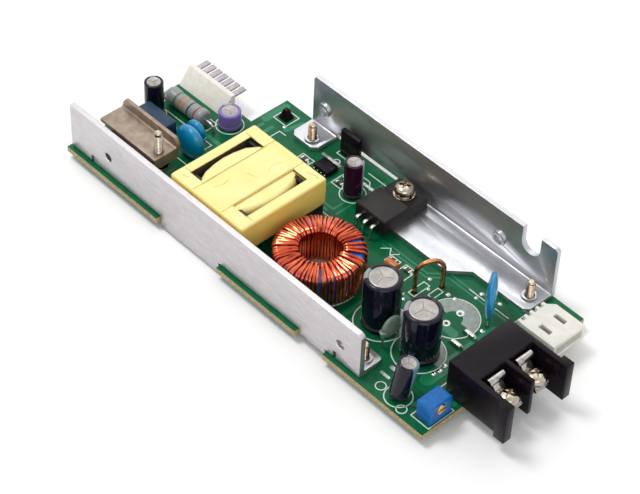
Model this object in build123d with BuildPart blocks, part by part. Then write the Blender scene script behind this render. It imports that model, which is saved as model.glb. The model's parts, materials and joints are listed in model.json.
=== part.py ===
from build123d import *
import os
from math import cos, radians, sin, tan

# An open-frame switching power supply, in millimetres: one long circuit board held between two
# folded aluminium brackets. X runs from the input end to the output end, Y from the front
# bracket to the rear one, Z up. The origin is at the middle of the outline, on the level of the
# four screw heads that the unit stands on. Places on the board are given as x from its input
# end and y from its front edge.

# Circuit board
board_length = 127.0
board_width = 54.0
board_thickness = 1.6
step_length = 23.4
step_width = 12.6
edge_clearance = 0.4

# Bracket sheet and its tapped holes
sheet = 1.5
bend_radius = 0.5
tapped_radius = 1.2
collar_radius = 2.0
collar_height = 0.9
rim_round = 0.4

# Front bracket
front_setback = 1.1
front_left = 0.7
front_right = 105.5
front_height = 13.8
front_corner = 1.6
relief_width = 1.0
foot_width = 7.8
foot_reach = 7.6
foot_corner = 1.2
foot_screw_inset = 2.7
foot_screw_y = 5.3
input_tab_left = 35.4
input_tab_width = 21.4
input_tab_depth = 2.8
output_tab_left = 85.4
output_tab_width = 8.6
output_tab_depth = 0.9
front_hole_left = 15.2
front_hole_right = 98.8
front_hole_height = 5.9

# Rear bracket
rear_overhang = 0.4
rear_left = 34.2
rear_right = 117.4
rear_height = 15.9
rear_corner = 1.2
rear_hole_left = 38.8
rear_hole_right = 99.9
rear_hole_height = 7.6
slot_centre = 109.3
slot_width = 5.8
slot_depth = 6.9
tab_width = 9.0
tab_reach = 9.3
tab_chamfer = 1.4
flange_left = 66.0
flange_step = 95.3
flange_deep_reach = 14.6
flange_reach = 10.1
tab_screw_x = 40.0
tab_screw_inset = 7.0
flange_screw_x = 114.4
flange_screw_inset = 6.0

# Screws
screw_diameter = 2.3
screw_length = 8.4
screw_head_diameter = 5.2
screw_head_height = 2.0
screw_head_round = 0.7
screw_hole_clearance = 0.4
screw_thread_clearance = 0.05
recess_width = 0.7
recess_length = 3.0
recess_depth = 0.9

# Leads and the holes they pass
lead_tail = 1.2
lead_diameter = 0.6
pin_diameter = 0.8
lead_clearance = 0.15

# Power device on the rear flange
device_x = 72.05
device_overhang = 3.2
device_width = 10.1
device_body_length = 8.7
device_tab_length = 6.3
device_thickness = 4.5
device_tab_thickness = 3.2
device_screw_inset = 3.3
device_hole_radius = 1.6
device_lead_pitch = 2.54
device_lead_width = 0.8
device_lead_thickness = 0.5
device_lead_run = 2.2
device_lead_height = 2.4
washer_radius = 2.8
washer_thickness = 0.5
lock_washer_radius = 2.3
lock_washer_thickness = 0.7

# Small heatsink over its own device at the input end
sink_left = 6.5
sink_length = 21.0
sink_front = 6.0
sink_depth = 8.2
sink_sheet = 1.0
sink_back_rise = 2.6
sink_end_drop = 2.4
sink_end_rise = 1.1
sink_device_length = 15.5
sink_device_height = 4.9
sink_screw_end = 6.2
sink_screw_inset = 2.2
sink_screw_setback = 3.1

# Transformer
transformer_left = 36.2
transformer_length = 26.2
transformer_front = 3.6
transformer_width = 27.4
transformer_top = 13.9
transformer_bottom = 5.4
transformer_tape = 0.3
core_back = 3.6
core_leg = 2.6
core_centre_width = 10.6
core_centre_height = 4.4
window_gap = 0.3
winding_clearance = 0.4
winding_round = 2.4
bobbin_wall = 1.0
transformer_pins = 5
transformer_pin_pitch = 5.0

# Toroid choke
toroid_x = 76.0
toroid_y = 16.0
toroid_base_height = 0.8
toroid_base_radius = 9.6
wire_diameter = 0.7
wire_bevel = 0.2
winding_outer_radius = 11.45
winding_top = 11.6
winding_corner = 0.95
layer_rise = 0.62
core_inner_radius = 6.1
core_clearance = 0.1
dense_pairs = 34
dense_range = 322.0
sparse_turns = 3
sparse_centre = 47.0
sparse_pitch = 8.5

# Electrolytic capacitors
sleeve_wall = 0.2
seal_height = 1.0
seal_inset = 0.5
sleeve_round_share = 0.08
sleeve_lip_share = 0.14
output_cap_diameter = 9.3
output_cap_a_x = 95.9
output_cap_a_y = 17.2
output_cap_a_height = 15.2
output_cap_b_x = 109.0
output_cap_b_y = 17.2
output_cap_b_height = 14.8
output_cap_spacing = 5.0
small_cap_diameter = 5.0
small_cap_spacing = 2.0
input_cap_x = 4.8
input_cap_y = 24.7
input_cap_height = 10.9
control_cap_x = 60.2
control_cap_y = 42.4
control_cap_height = 11.0
low_cap_x = 20.8
low_cap_y = 36.4
low_cap_diameter = 6.0
low_cap_height = 5.0
low_cap_spacing = 2.5
leaning_cap_x = 115.2
leaning_cap_y = 4.2
leaning_cap_height = 10.9
leaning_cap_lift = 0.8
leaning_cap_tilt = 9.0
leaning_cap_heading = 45.0

# Terminal block
terminal_x = 121.6
terminal_front = 12.8
terminal_depth = 19.1
terminal_width = 19.8
terminal_height = 11.0
terminal_back = 8.4
terminal_floor = 4.4
terminal_floor_clearance = 0.15
terminal_side_wall = 1.4
terminal_middle_wall = 1.2
terminal_middle_setback = 2.4
terminal_hook = 1.1
terminal_hook_length = 3.2
strip_setback = 0.4
clamp_clearance = 2.2
clamp_corner = 0.5
clamp_thickness = 0.8
contact_thickness = 0.8
contact_width = 4.6
contact_roll = 0.9

# Signal connector at the output end
connector_x = 120.2
connector_front = 38.6
connector_length = 10.8
connector_width = 10.8
connector_height = 4.2
connector_wall = 0.9
connector_chamfer = 1.6
connector_spacing = 2.5
connector_back = 3.2
connector_window_length = 3.4
connector_window_width = 1.3

# Input header
header_left = 0.3
header_length = 16.7
header_overhang = 0.2
header_wall = 1.3
header_height = 4.8
header_lean = 3.6
header_base_depth = 3.6
header_base_height = 2.4
header_pins = 7
header_spacing = 2.33
header_pin_width = 1.6
header_pin_thickness = 0.6
header_pin_height = 3.2
header_pin_reach = 4.4
header_tail_inset = 3.0

# Trimmer
trimmer_left = 121.8
trimmer_front = 3.1
trimmer_length = 4.5
trimmer_width = 6.8
trimmer_height = 5.6
trimmer_round = 0.4
rotor_radius = 1.3
rotor_depth = 1.2
rotor_clearance = 0.05
rotor_y = 3.3
rotor_height = 3.5
rotor_proud = 0.3
rotor_slot_width = 0.5
rotor_slot_depth = 0.5
trimmer_pin_pitch = 2.5

# Film capacitor, resistor and discs
film_left = 6.5
film_length = 10.8
film_front = 16.4
film_width = 5.4
film_height = 7.4
film_round = 0.5
film_lead_inset = 0.75
part_round = 0.5
resistor_left = 3.7
resistor_length = 13.8
resistor_y = 30.9
resistor_diameter = 4.8
resistor_neck = 0.2
resistor_cap_length = 2.4
resistor_height = 2.7
resistor_lead_left = 2.0
resistor_lead_right = 20.6
resistor_bend = 1.2
disc_lead_spacing = 5.0
large_disc_x = 23.4
large_disc_y = 20.9
large_disc_diameter = 9.6
large_disc_thickness = 4.2
small_disc_x = 20.0
small_disc_y = 25.8
small_disc_diameter = 6.4
small_disc_thickness = 3.0
output_disc_x = 112.2
output_disc_y = 36.9
output_disc_diameter = 11.4
output_disc_thickness = 2.6
output_disc_lift = 2.4
output_disc_angle = -52.0
disc_lift = 0.3
disc_rim_share = 0.45

# Control parts
chip_left = 46.9
chip_front = 41.4
chip_length = 4.9
chip_width = 3.9
chip_height = 1.5
chip_stand = 0.15
chip_lead_count = 4
chip_lead_pitch = 1.27
chip_lead_width = 0.4
chip_lead_thickness = 0.2
chip_lead_reach = 1.0
chip_lead_drop = 0.8
upright_left = 47.0
upright_length = 6.5
upright_gap = 1.1
upright_thickness = 1.4
upright_height = 7.9
upright_round = 0.3
diode_x = 28.3
diode_y = 49.2
diode_base = 3.0
diode_top = 1.2
diode_height = 3.0
chip_part_length = 2.0
chip_part_width = 1.25
chip_part_height = 0.6
bead_x = 85.7
bead_y = 30.9
bead_diameter = 2.6
bead_length = 3.4
bead_height = 1.9
loop_start_x = 94.3
loop_start_y = 30.1
loop_end_x = 97.5
loop_end_y = 36.3
loop_height = 9.5
loop_wire = 1.2
loop_bend = 3.3
strap_x = 113.0
strap_y = 25.6
strap_length = 4.0
strap_width = 1.0
strap_height = 1.2
strap_spacing = 4.6
thermistor_x = 102.1
thermistor_y = 14.3
thermistor_diameter = 6.0
thermistor_thickness = 1.8
thermistor_lift = 2.6
empty_cap_x = 106.5
empty_cap_y = 30.9
empty_cap_spacing = 4.8

# The outline, from which the origin is set
overall_length = terminal_x + terminal_depth
overall_width = board_width + rear_overhang
board_left = -overall_length / 2
board_front = -overall_width / 2
board_bottom = screw_head_height
board_top = board_bottom + board_thickness
lead_end = board_bottom - lead_tail

# Every drilled hole of the board, as x, y and radius
drills = []


def on_board(x, y, z=0.0):
    """A plane on the board's top, or z above it, with its normal up."""
    return Plane((board_left + x, board_front + y, board_top + z))


def facing_front(x, y, z=0.0):
    """An upright plane that faces the front bracket, with x to the right and y up."""
    origin = (board_left + x, board_front + y, board_top + z)
    return Plane(origin, x_dir=(1, 0, 0), z_dir=(0, -1, 0))


def facing_output(x, y, z=0.0):
    """An upright plane that faces the output end, with x to the rear and y up."""
    origin = (board_left + x, board_front + y, board_top + z)
    return Plane(origin, x_dir=(0, 1, 0), z_dir=(1, 0, 0))


def upright_section(place):
    """The plane through a standing part's axis, on which its profile is turned."""
    return Plane(place.origin, x_dir=place.x_dir, z_dir=-place.y_dir)


def drill(x, y, diameter, clearance=lead_clearance):
    """Notes a hole of the board for a lead or a screw."""
    drills.append((x, y, diameter / 2 + clearance))


def straight_leads(places, diameter=lead_diameter, top=0.0):
    """Upright round leads from a height above the board down through it."""
    for x, y in places:
        drill(x, y, diameter)
    with BuildPart() as leads:
        with BuildSketch(Plane.XY.offset(lead_end)):
            with Locations(*[(board_left + x, board_front + y) for x, y in places]):
                Circle(diameter / 2)
        extrude(amount=board_top + top - lead_end)
    return leads.part


def bent_lead(points, diameter=lead_diameter, bend=0.8):
    """A round lead bent along its points, the last of which is a place in the board."""
    x, y, _ = points[-1]
    drill(x, y, diameter)
    route = [on_board(*point).origin for point in points]
    with BuildPart() as lead:
        with BuildLine() as path:
            FilletPolyline(*route, radius=bend)
        with BuildSketch(Plane(path.line @ 0, z_dir=path.line % 0)):
            Circle(diameter / 2)
        sweep(path=path.line)
    return lead.part


def edges_along_x(part, y, z):
    """The edges of a part that run along X at one y and z of the frame."""
    return (
        part.edges()
        .filter_by(Axis.X)
        .filter_by(lambda edge: abs(edge.center().Y - y) < 0.01)
        .filter_by(lambda edge: abs(edge.center().Z - z) < 0.01)
    )


def tapped_rims(part, y):
    """The rims of the tapped holes in a wall whose outer face lies at one y of the frame."""
    rims = part.edges().filter_by(GeomType.CIRCLE)
    rims = rims.filter_by(lambda rim: abs(rim.radius - tapped_radius) < 0.01)
    return rims.filter_by(lambda rim: abs(rim.arc_center.Y - y) < 0.01)


def tapped_collars(places):
    """Pulled collars on a bracket wall, in the sketch plane of its inner face, with their bore."""
    with Locations(*places):
        Circle(collar_radius)


# Front bracket: a wall with two low tabs through the board's edge and two feet on the board
relief_height = sheet + 2 * bend_radius
front_inner = front_setback + sheet
front_length = front_right - front_left
front_holes = [
    (front_hole_left - front_left, front_hole_height),
    (front_hole_right - front_left, front_hole_height),
]
front_feet = [front_left, front_right - foot_width]
foot_screws = [
    (front_left + foot_screw_inset, foot_screw_y),
    (front_right - foot_screw_inset, foot_screw_y),
]

with BuildPart() as front_bracket:
    with BuildSketch(facing_front(front_left, front_inner)):
        Rectangle(front_length, front_height, align=(Align.MIN, Align.MIN))
        fillet(vertices().group_by(Axis.Y)[-1].sort_by(Axis.X)[-1], front_corner)
        with Locations((input_tab_left - front_left, 0)):
            Rectangle(input_tab_width, input_tab_depth, align=(Align.MIN, Align.MAX))
        with Locations((output_tab_left - front_left, 0)):
            Rectangle(output_tab_width, output_tab_depth, align=(Align.MIN, Align.MAX))
        with Locations((foot_width, 0), (front_length - foot_width - relief_width, 0)):
            Rectangle(relief_width, relief_height, align=(Align.MIN, Align.MIN), mode=Mode.SUBTRACT)
    extrude(amount=sheet)
    for foot_left in front_feet:
        with BuildSketch(on_board(foot_left, front_setback)):
            Rectangle(foot_width, foot_reach, align=(Align.MIN, Align.MIN))
            fillet(vertices().group_by(Axis.Y)[-1], foot_corner)
        extrude(amount=sheet)
    fillet(edges_along_x(front_bracket, board_front + front_inner, board_top + sheet), bend_radius)
    fillet(edges_along_x(front_bracket, board_front + front_setback, board_top), sheet / 2)
    with BuildSketch(facing_front(front_left, front_inner)):
        tapped_collars(front_holes)
    extrude(amount=-collar_height)
    with BuildSketch(on_board(0, 0, sheet)):
        tapped_collars(foot_screws)
    extrude(amount=collar_height)
    with BuildSketch(facing_front(front_left, front_setback)):
        with Locations(*front_holes):
            Circle(tapped_radius)
    extrude(amount=-(sheet + collar_height), mode=Mode.SUBTRACT)
    with BuildSketch(on_board(0, 0)):
        with Locations(*foot_screws):
            Circle(tapped_radius)
    extrude(amount=sheet + collar_height, mode=Mode.SUBTRACT)
    fillet(tapped_rims(front_bracket, board_front + front_setback), rim_round)
front_bracket.part.label = "front_bracket"

# Rear bracket: a taller wall with a slot, a small tab and a deep flange that carries the device
rear_outer = board_width + rear_overhang
rear_inner = rear_outer - sheet
rear_length = rear_right - rear_left
rear_holes = [
    (rear_hole_left - rear_left, rear_hole_height),
    (rear_hole_right - rear_left, rear_hole_height),
]
rear_screws = [
    (tab_screw_x, rear_outer - tab_screw_inset),
    (flange_screw_x, rear_outer - flange_screw_inset),
]
flange_front = rear_outer - flange_reach
flange_deep_front = rear_outer - flange_deep_reach
device_front = flange_deep_front - device_overhang
device_screw_y = device_front + device_body_length + device_tab_length - device_screw_inset

with BuildPart() as rear_bracket:
    with BuildSketch(facing_front(rear_left, rear_outer)):
        Rectangle(rear_length, rear_height, align=(Align.MIN, Align.MIN))
        fillet(vertices().group_by(Axis.Y)[-1], rear_corner)
        with Locations((tab_width, 0)):
            relief = flange_left - rear_left - tab_width
            Rectangle(relief, relief_height, align=(Align.MIN, Align.MIN), mode=Mode.SUBTRACT)
        with Locations((slot_centre - rear_left, rear_height)):
            slot_straight = slot_depth - slot_width / 2
            Rectangle(slot_width, slot_straight, align=(Align.CENTER, Align.MAX), mode=Mode.SUBTRACT)
        with Locations((slot_centre - rear_left, rear_height - slot_straight)):
            Circle(slot_width / 2, mode=Mode.SUBTRACT)
    extrude(amount=sheet)
    with BuildSketch(on_board(rear_left, rear_outer)):
        Rectangle(tab_width, tab_reach, align=(Align.MIN, Align.MAX))
        chamfer(vertices().group_by(Axis.Y)[0], tab_chamfer)
    extrude(amount=sheet)
    with BuildSketch(on_board(0, 0)):
        with BuildLine():
            Polyline(
                (flange_left, rear_outer),
                (flange_left, flange_deep_front),
                (flange_step, flange_deep_front),
                (flange_step + flange_deep_reach - flange_reach, flange_front),
                (rear_right, flange_front),
                (rear_right, rear_outer),
                close=True,
            )
        make_face()
        chamfer(vertices().group_by(Axis.X)[-1].sort_by(Axis.Y)[0], tab_chamfer)
    extrude(amount=sheet)
    fillet(edges_along_x(rear_bracket, board_front + rear_inner, board_top + sheet), bend_radius)
    fillet(edges_along_x(rear_bracket, board_front + rear_outer, board_top), sheet / 2)
    with BuildSketch(facing_front(rear_left, rear_inner)):
        tapped_collars(rear_holes)
    extrude(amount=collar_height)
    with BuildSketch(on_board(0, 0, sheet)):
        tapped_collars(rear_screws)
    extrude(amount=collar_height)
    with BuildSketch(facing_front(rear_left, rear_outer)):
        with Locations(*rear_holes):
            Circle(tapped_radius)
    extrude(amount=sheet + collar_height, mode=Mode.SUBTRACT)
    with BuildSketch(on_board(0, 0)):
        with Locations(*rear_screws, (device_x, device_screw_y)):
            Circle(tapped_radius)
    extrude(amount=sheet + collar_height, mode=Mode.SUBTRACT)
    fillet(tapped_rims(rear_bracket, board_front + rear_outer), rim_round)
rear_bracket.part.label = "rear_bracket"


def pan_head_screw(place, length):
    """A pan-head screw whose head stands on its place and whose shank goes the other way."""
    with BuildPart() as screw:
        with BuildSketch(upright_section(place)):
            Rectangle(screw_head_diameter / 2, screw_head_height, align=(Align.MIN, Align.MIN))
            fillet(vertices().group_by(Axis.Y)[-1].sort_by(Axis.X)[-1], screw_head_round)
            Rectangle(screw_diameter / 2, length, align=(Align.MIN, Align.MAX))
        revolve(axis=Axis(place.origin, place.z_dir))
        with BuildSketch(place.offset(screw_head_height)):
            Rectangle(recess_length, recess_width)
            Rectangle(recess_width, recess_length)
        extrude(amount=-recess_depth, mode=Mode.SUBTRACT)
    return screw.part


# Bracket screws: up through the board into the tapped feet and flanges, heads below the board
with BuildPart() as bracket_screws:
    for screw_x, screw_y in foot_screws + rear_screws:
        head_seat = Plane(on_board(screw_x, screw_y, -board_thickness).origin, z_dir=(0, 0, -1))
        add(pan_head_screw(head_seat, screw_length))
        drill(screw_x, screw_y, screw_diameter, screw_hole_clearance)
bracket_screws.part.label = "bracket_screws"

# Power device: a full-pack body on the rear flange, with a thinner tab for its screw
device_length = device_body_length + device_tab_length
device_place = on_board(device_x, device_front, sheet)
with BuildPart(device_place) as power_device_body:
    with BuildSketch(device_place):
        Rectangle(device_width, device_length, align=(Align.CENTER, Align.MIN))
    extrude(amount=device_tab_thickness)
    with BuildSketch(device_place.offset(device_tab_thickness)):
        Rectangle(device_width, device_body_length, align=(Align.CENTER, Align.MIN))
    extrude(amount=device_thickness - device_tab_thickness)
    with Locations((0, device_screw_y - device_front, device_tab_thickness)):
        Hole(device_hole_radius)
    chamfer(power_device_body.edges().group_by(Axis.Z)[-1].filter_by(Axis.X), device_lead_thickness)
power_device_body.part.label = "power_device_body"

# Its three leads leave the front end and turn down into the board
device_lead_z = sheet + device_lead_height
device_lead_y = device_front - device_lead_run
with BuildPart() as power_device_leads:
    for place in range(3):
        lead_x = device_x + (place - 1) * device_lead_pitch
        drill(lead_x, device_lead_y, device_lead_width)
        with BuildSketch(facing_output(lead_x - device_lead_width / 2, 0)):
            with BuildLine():
                FilletPolyline(
                    (device_front, device_lead_z),
                    (device_lead_y, device_lead_z),
                    (device_lead_y, -board_thickness - lead_tail),
                    radius=device_lead_width,
                )
            trace(line_width=device_lead_thickness)
        extrude(amount=device_lead_width)
power_device_leads.part.label = "power_device_leads"

# Flat washer, lock washer and screw of the power device
washer_place = on_board(device_x, device_screw_y, sheet + device_tab_thickness)
with BuildPart() as device_washer:
    with BuildSketch(washer_place):
        Circle(washer_radius)
        Circle(device_hole_radius, mode=Mode.SUBTRACT)
    extrude(amount=washer_thickness)

lock_place = washer_place.offset(washer_thickness)
with BuildPart() as lock_washer:
    with BuildSketch(lock_place):
        Circle(lock_washer_radius)
        Circle(device_hole_radius, mode=Mode.SUBTRACT)
        with Locations((lock_washer_radius, 0)):
            Rectangle(lock_washer_radius, recess_width, mode=Mode.SUBTRACT)
    extrude(amount=lock_washer_thickness)
device_washers = Compound(label="device_washers", children=[device_washer.part, lock_washer.part])

device_screw = pan_head_screw(lock_place.offset(lock_washer_thickness), screw_length)
device_screw.label = "device_screw"
drill(device_x, device_screw_y, screw_diameter, screw_hole_clearance)

# Small heatsink: a folded plate with a raised back, a dropped end and a short raised end
sink_height = sink_device_height + device_thickness
sink_place = on_board(sink_left, sink_front, sink_height)
sink_end_x = sink_left + sink_length
sink_screw_x = sink_end_x - sink_screw_inset
sink_screw_y = sink_front + sink_screw_setback
with BuildPart(sink_place) as heatsink:
    with BuildSketch(sink_place):
        Rectangle(sink_length, sink_depth, align=(Align.MIN, Align.MIN))
    extrude(amount=sink_sheet)
    with BuildSketch(facing_front(sink_left, sink_front + sink_depth, sink_height)):
        with BuildLine():
            Polyline(
                (0, 0),
                (sink_length, 0),
                (sink_length, sink_sheet + sink_end_rise),
                (sink_length - sink_sheet, sink_sheet + sink_back_rise),
                (sink_sheet, sink_sheet + sink_back_rise),
                (0, sink_sheet + sink_end_rise),
                close=True,
            )
        make_face()
    extrude(amount=sink_sheet)
    with BuildSketch(facing_output(sink_end_x, sink_front, sink_height)):
        Rectangle(sink_depth - sink_sheet, sink_end_drop, align=(Align.MIN, Align.MAX))
    extrude(amount=-sink_sheet / 2)
    bend_y = board_front + sink_front + sink_depth - sink_sheet
    fillet(edges_along_x(heatsink, bend_y, board_top + sink_height + sink_sheet), bend_radius)
    with BuildSketch(on_board(sink_screw_x, sink_screw_y, sink_height)):
        Circle(screw_diameter / 2 + screw_thread_clearance)
    extrude(amount=sink_sheet, mode=Mode.SUBTRACT)
heatsink.part.label = "heatsink"

# The device clamped below the plate, with its screw standing up through both
sink_device_end = sink_end_x - sink_sheet
sink_device_place = on_board(sink_device_end, sink_screw_y, sink_device_height)
with BuildPart(sink_device_place) as sink_device_body:
    with BuildSketch(sink_device_place):
        Rectangle(sink_device_length, device_width, align=(Align.MAX, Align.CENTER))
    extrude(amount=device_thickness)
    with BuildSketch(sink_device_place):
        Rectangle(device_tab_length, device_width, align=(Align.MAX, Align.CENTER))
    extrude(amount=device_thickness - device_tab_thickness, mode=Mode.SUBTRACT)
    with BuildSketch(sink_device_place):
        with Locations((sink_screw_x - sink_device_end, 0)):
            Circle(device_hole_radius)
    extrude(amount=device_thickness, mode=Mode.SUBTRACT)
sink_device_body.part.label = "sink_device_body"

sink_lead_z = sink_device_height + device_lead_height
sink_lead_start = sink_device_end - sink_device_length
sink_lead_x = sink_lead_start - device_lead_run
with BuildPart() as sink_device_leads:
    for place in range(3):
        lead_y = sink_screw_y + (place - 1) * device_lead_pitch
        drill(sink_lead_x, lead_y, device_lead_width)
        with BuildSketch(facing_front(0, lead_y + device_lead_width / 2)):
            with BuildLine():
                FilletPolyline(
                    (sink_lead_start, sink_lead_z),
                    (sink_lead_x, sink_lead_z),
                    (sink_lead_x, -board_thickness - lead_tail),
                    radius=device_lead_width,
                )
            trace(line_width=device_lead_thickness)
        extrude(amount=device_lead_width)
sink_device_leads.part.label = "sink_device_leads"

sink_screw_seat = sink_device_height + device_thickness - device_tab_thickness
sink_screw_length = sink_height + sink_sheet + sink_screw_end - sink_screw_seat
sink_screw_place = Plane(on_board(sink_screw_x, sink_screw_y, sink_screw_seat).origin, z_dir=(0, 0, -1))
sink_screw = pan_head_screw(sink_screw_place, sink_screw_length)
sink_screw.label = "heatsink_screw"

# Transformer: two ferrite halves meet inside a wound bobbin, with yellow tape over all
transformer_x = transformer_left + transformer_length / 2
transformer_y = transformer_front + transformer_width / 2
transformer_place = on_board(transformer_x, transformer_y)
core_length = transformer_length - 2 * transformer_tape
core_width = transformer_width - 2 * transformer_tape
core_top = transformer_top - transformer_tape
window_width = (core_length - 2 * core_leg - core_centre_width) / 2
window_length = core_width - 2 * core_back
window_x = core_centre_width / 2 + window_width / 2
core_middle = (core_top + transformer_bottom) / 2

with BuildPart(transformer_place) as transformer_core:
    with BuildSketch(transformer_place.offset(transformer_bottom)):
        Rectangle(core_length, core_width)
        with Locations((-window_x, 0), (window_x, 0)):
            Rectangle(window_width, window_length, mode=Mode.SUBTRACT)
    extrude(amount=core_top - transformer_bottom)
    with BuildSketch(transformer_place.offset(transformer_bottom)):
        Rectangle(core_centre_width, window_length)
    extrude(amount=core_middle - core_centre_height / 2 - transformer_bottom, mode=Mode.SUBTRACT)
    with BuildSketch(transformer_place.offset(core_top)):
        Rectangle(core_centre_width, window_length)
    extrude(amount=-(core_top - core_middle - core_centre_height / 2), mode=Mode.SUBTRACT)
    split(bisect_by=Plane(transformer_place.origin, z_dir=(0, 1, 0)), keep=Keep.BOTH)
transformer_core.part.label = "transformer_core"

tube_width = core_centre_width + 2 * window_gap
tube_height = core_centre_height + 2 * window_gap
flange_span = window_length - 2 * window_gap
winding_width = core_centre_width + 2 * window_width - 2 * window_gap
winding_height = core_top - transformer_bottom - 2 * winding_clearance
rail_width = core_back + window_gap + bobbin_wall
pin_rail_y = core_width / 2 - rail_width / 2
rail_height = transformer_bottom - 2 * window_gap
end_plane = Plane(transformer_place.origin, x_dir=(1, 0, 0), z_dir=(0, -1, 0))

with BuildPart(transformer_place) as transformer_bobbin:
    with BuildSketch(end_plane.offset(-flange_span / 2)):
        with Locations((0, core_middle)):
            Rectangle(tube_width + 2 * bobbin_wall, tube_height + 2 * bobbin_wall)
    extrude(amount=flange_span)
    for end in (-1, 1):
        with BuildSketch(end_plane.offset(end * (flange_span / 2 - bobbin_wall / 2) - bobbin_wall / 2)):
            with Locations((0, core_middle)):
                Rectangle(winding_width, winding_height)
            with Locations((0, window_gap)):
                Rectangle(winding_width, core_middle, align=(Align.CENTER, Align.MIN))
        extrude(amount=bobbin_wall)
    with BuildSketch(end_plane.offset(-flange_span / 2)):
        with Locations((0, core_middle)):
            Rectangle(tube_width, tube_height)
    extrude(amount=flange_span, mode=Mode.SUBTRACT)
    with BuildSketch(transformer_place.offset(window_gap)):
        with Locations((0, -pin_rail_y), (0, pin_rail_y)):
            Rectangle(core_length - 2 * window_gap, rail_width)
    extrude(amount=rail_height)
transformer_bobbin.part.label = "transformer_bobbin"

wound_length = flange_span - 2 * bobbin_wall
with BuildPart() as transformer_winding:
    with BuildSketch(end_plane.offset(-wound_length / 2)):
        with Locations((0, core_middle)):
            RectangleRounded(winding_width, winding_height, winding_round)
            Rectangle(tube_width + 2 * bobbin_wall, tube_height + 2 * bobbin_wall, mode=Mode.SUBTRACT)
    extrude(amount=wound_length)
transformer_winding.part.label = "transformer_winding"

# The tape wraps the core's four sides and its top, and leaves the two windows open
with BuildPart(transformer_place) as transformer_tape_wrap:
    with BuildSketch(transformer_place.offset(transformer_bottom)):
        Rectangle(transformer_length, transformer_width)
    extrude(amount=transformer_top - transformer_bottom)
    with BuildSketch(transformer_place.offset(transformer_bottom)):
        Rectangle(core_length, core_width)
    extrude(amount=core_top - transformer_bottom, mode=Mode.SUBTRACT)
    with BuildSketch(transformer_place.offset(transformer_top)):
        with Locations((-window_x, 0), (window_x, 0)):
            Rectangle(window_width, window_length, mode=Mode.ADD)
    extrude(amount=-transformer_tape, mode=Mode.SUBTRACT)
transformer_tape_wrap.part.label = "transformer_tape"

transformer_pin_places = [
    (transformer_x + (pin - (transformer_pins - 1) / 2) * transformer_pin_pitch, transformer_y + side * pin_rail_y)
    for pin in range(transformer_pins)
    for side in (-1, 1)
]
transformer_pin_rods = straight_leads(transformer_pin_places, pin_diameter, window_gap)
transformer_pin_rods.label = "transformer_pins"

# Toroid choke: bevelled turns round a coated ring, in pairs whose inner legs nest in two layers
toroid_place = on_board(toroid_x, toroid_y)
lower_layer_top = winding_top - layer_rise
lower_layer_bottom = toroid_base_height + layer_rise
core_outer_radius = winding_outer_radius - wire_diameter - core_clearance


def toroid_turn(inner_radius, rise):
    """One closed turn of the wire in the XZ plane, raised at its inner end by rise."""
    outer = winding_outer_radius
    corner = winding_corner
    top = lower_layer_top
    bottom = lower_layer_bottom
    with BuildPart() as turn:
        with BuildSketch(Plane.XZ.offset(-wire_diameter / 2)):
            with BuildLine():
                Polyline(
                    (inner_radius - wire_diameter, top + rise),
                    (outer - corner, top),
                    (outer, top - corner),
                    (outer, bottom + corner),
                    (outer - corner, bottom),
                    (inner_radius - wire_diameter, bottom - rise),
                    close=True,
                )
            make_face()
            with BuildLine():
                Polyline(
                    (inner_radius, top + rise - wire_diameter),
                    (outer - corner - wire_diameter / 4, top - wire_diameter),
                    (outer - wire_diameter, top - corner - wire_diameter / 4),
                    (outer - wire_diameter, bottom + corner + wire_diameter / 4),
                    (outer - corner - wire_diameter / 4, bottom + wire_diameter),
                    (inner_radius, bottom - rise + wire_diameter),
                    close=True,
                )
            make_face(mode=Mode.SUBTRACT)
        extrude(amount=wire_diameter)
        chamfer(turn.faces().filter_by(Axis.Y).edges(), wire_bevel)
    return turn.part


inner_leg_radius = core_inner_radius - core_clearance
lower_turn = toroid_turn(inner_leg_radius, 0.0)
upper_turn = toroid_turn(inner_leg_radius - layer_rise, layer_rise)
dense_start = sparse_centre + 180 - dense_range / 2
pair_pitch = dense_range / dense_pairs
sparse_start = sparse_centre - sparse_pitch * (sparse_turns - 1) / 2
sparse_range = sparse_pitch * sparse_turns

with BuildPart(toroid_place) as toroid_winding:
    with PolarLocations(0, dense_pairs, dense_start + pair_pitch / 4, dense_range):
        add(lower_turn)
    with PolarLocations(0, dense_pairs, dense_start + pair_pitch * 3 / 4, dense_range):
        add(upper_turn)
    with PolarLocations(0, sparse_turns, sparse_start, sparse_range):
        add(lower_turn)
toroid_winding.part.label = "toroid_winding"

core_base = lower_layer_bottom + wire_diameter + core_clearance
core_height = lower_layer_top - wire_diameter - core_clearance - core_base
with BuildPart(toroid_place) as toroid_core:
    with BuildSketch(toroid_place.offset(core_base)):
        Circle(core_outer_radius)
        Circle(core_inner_radius, mode=Mode.SUBTRACT)
    extrude(amount=core_height)
    chamfer(toroid_core.edges().filter_by(GeomType.CIRCLE), winding_corner - wire_diameter / 2)
toroid_core.part.label = "toroid_core"

with BuildPart(toroid_place) as toroid_base:
    with BuildSketch(toroid_place):
        Circle(toroid_base_radius)
    extrude(amount=toroid_base_height)
toroid_base.part.label = "toroid_base"


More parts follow.
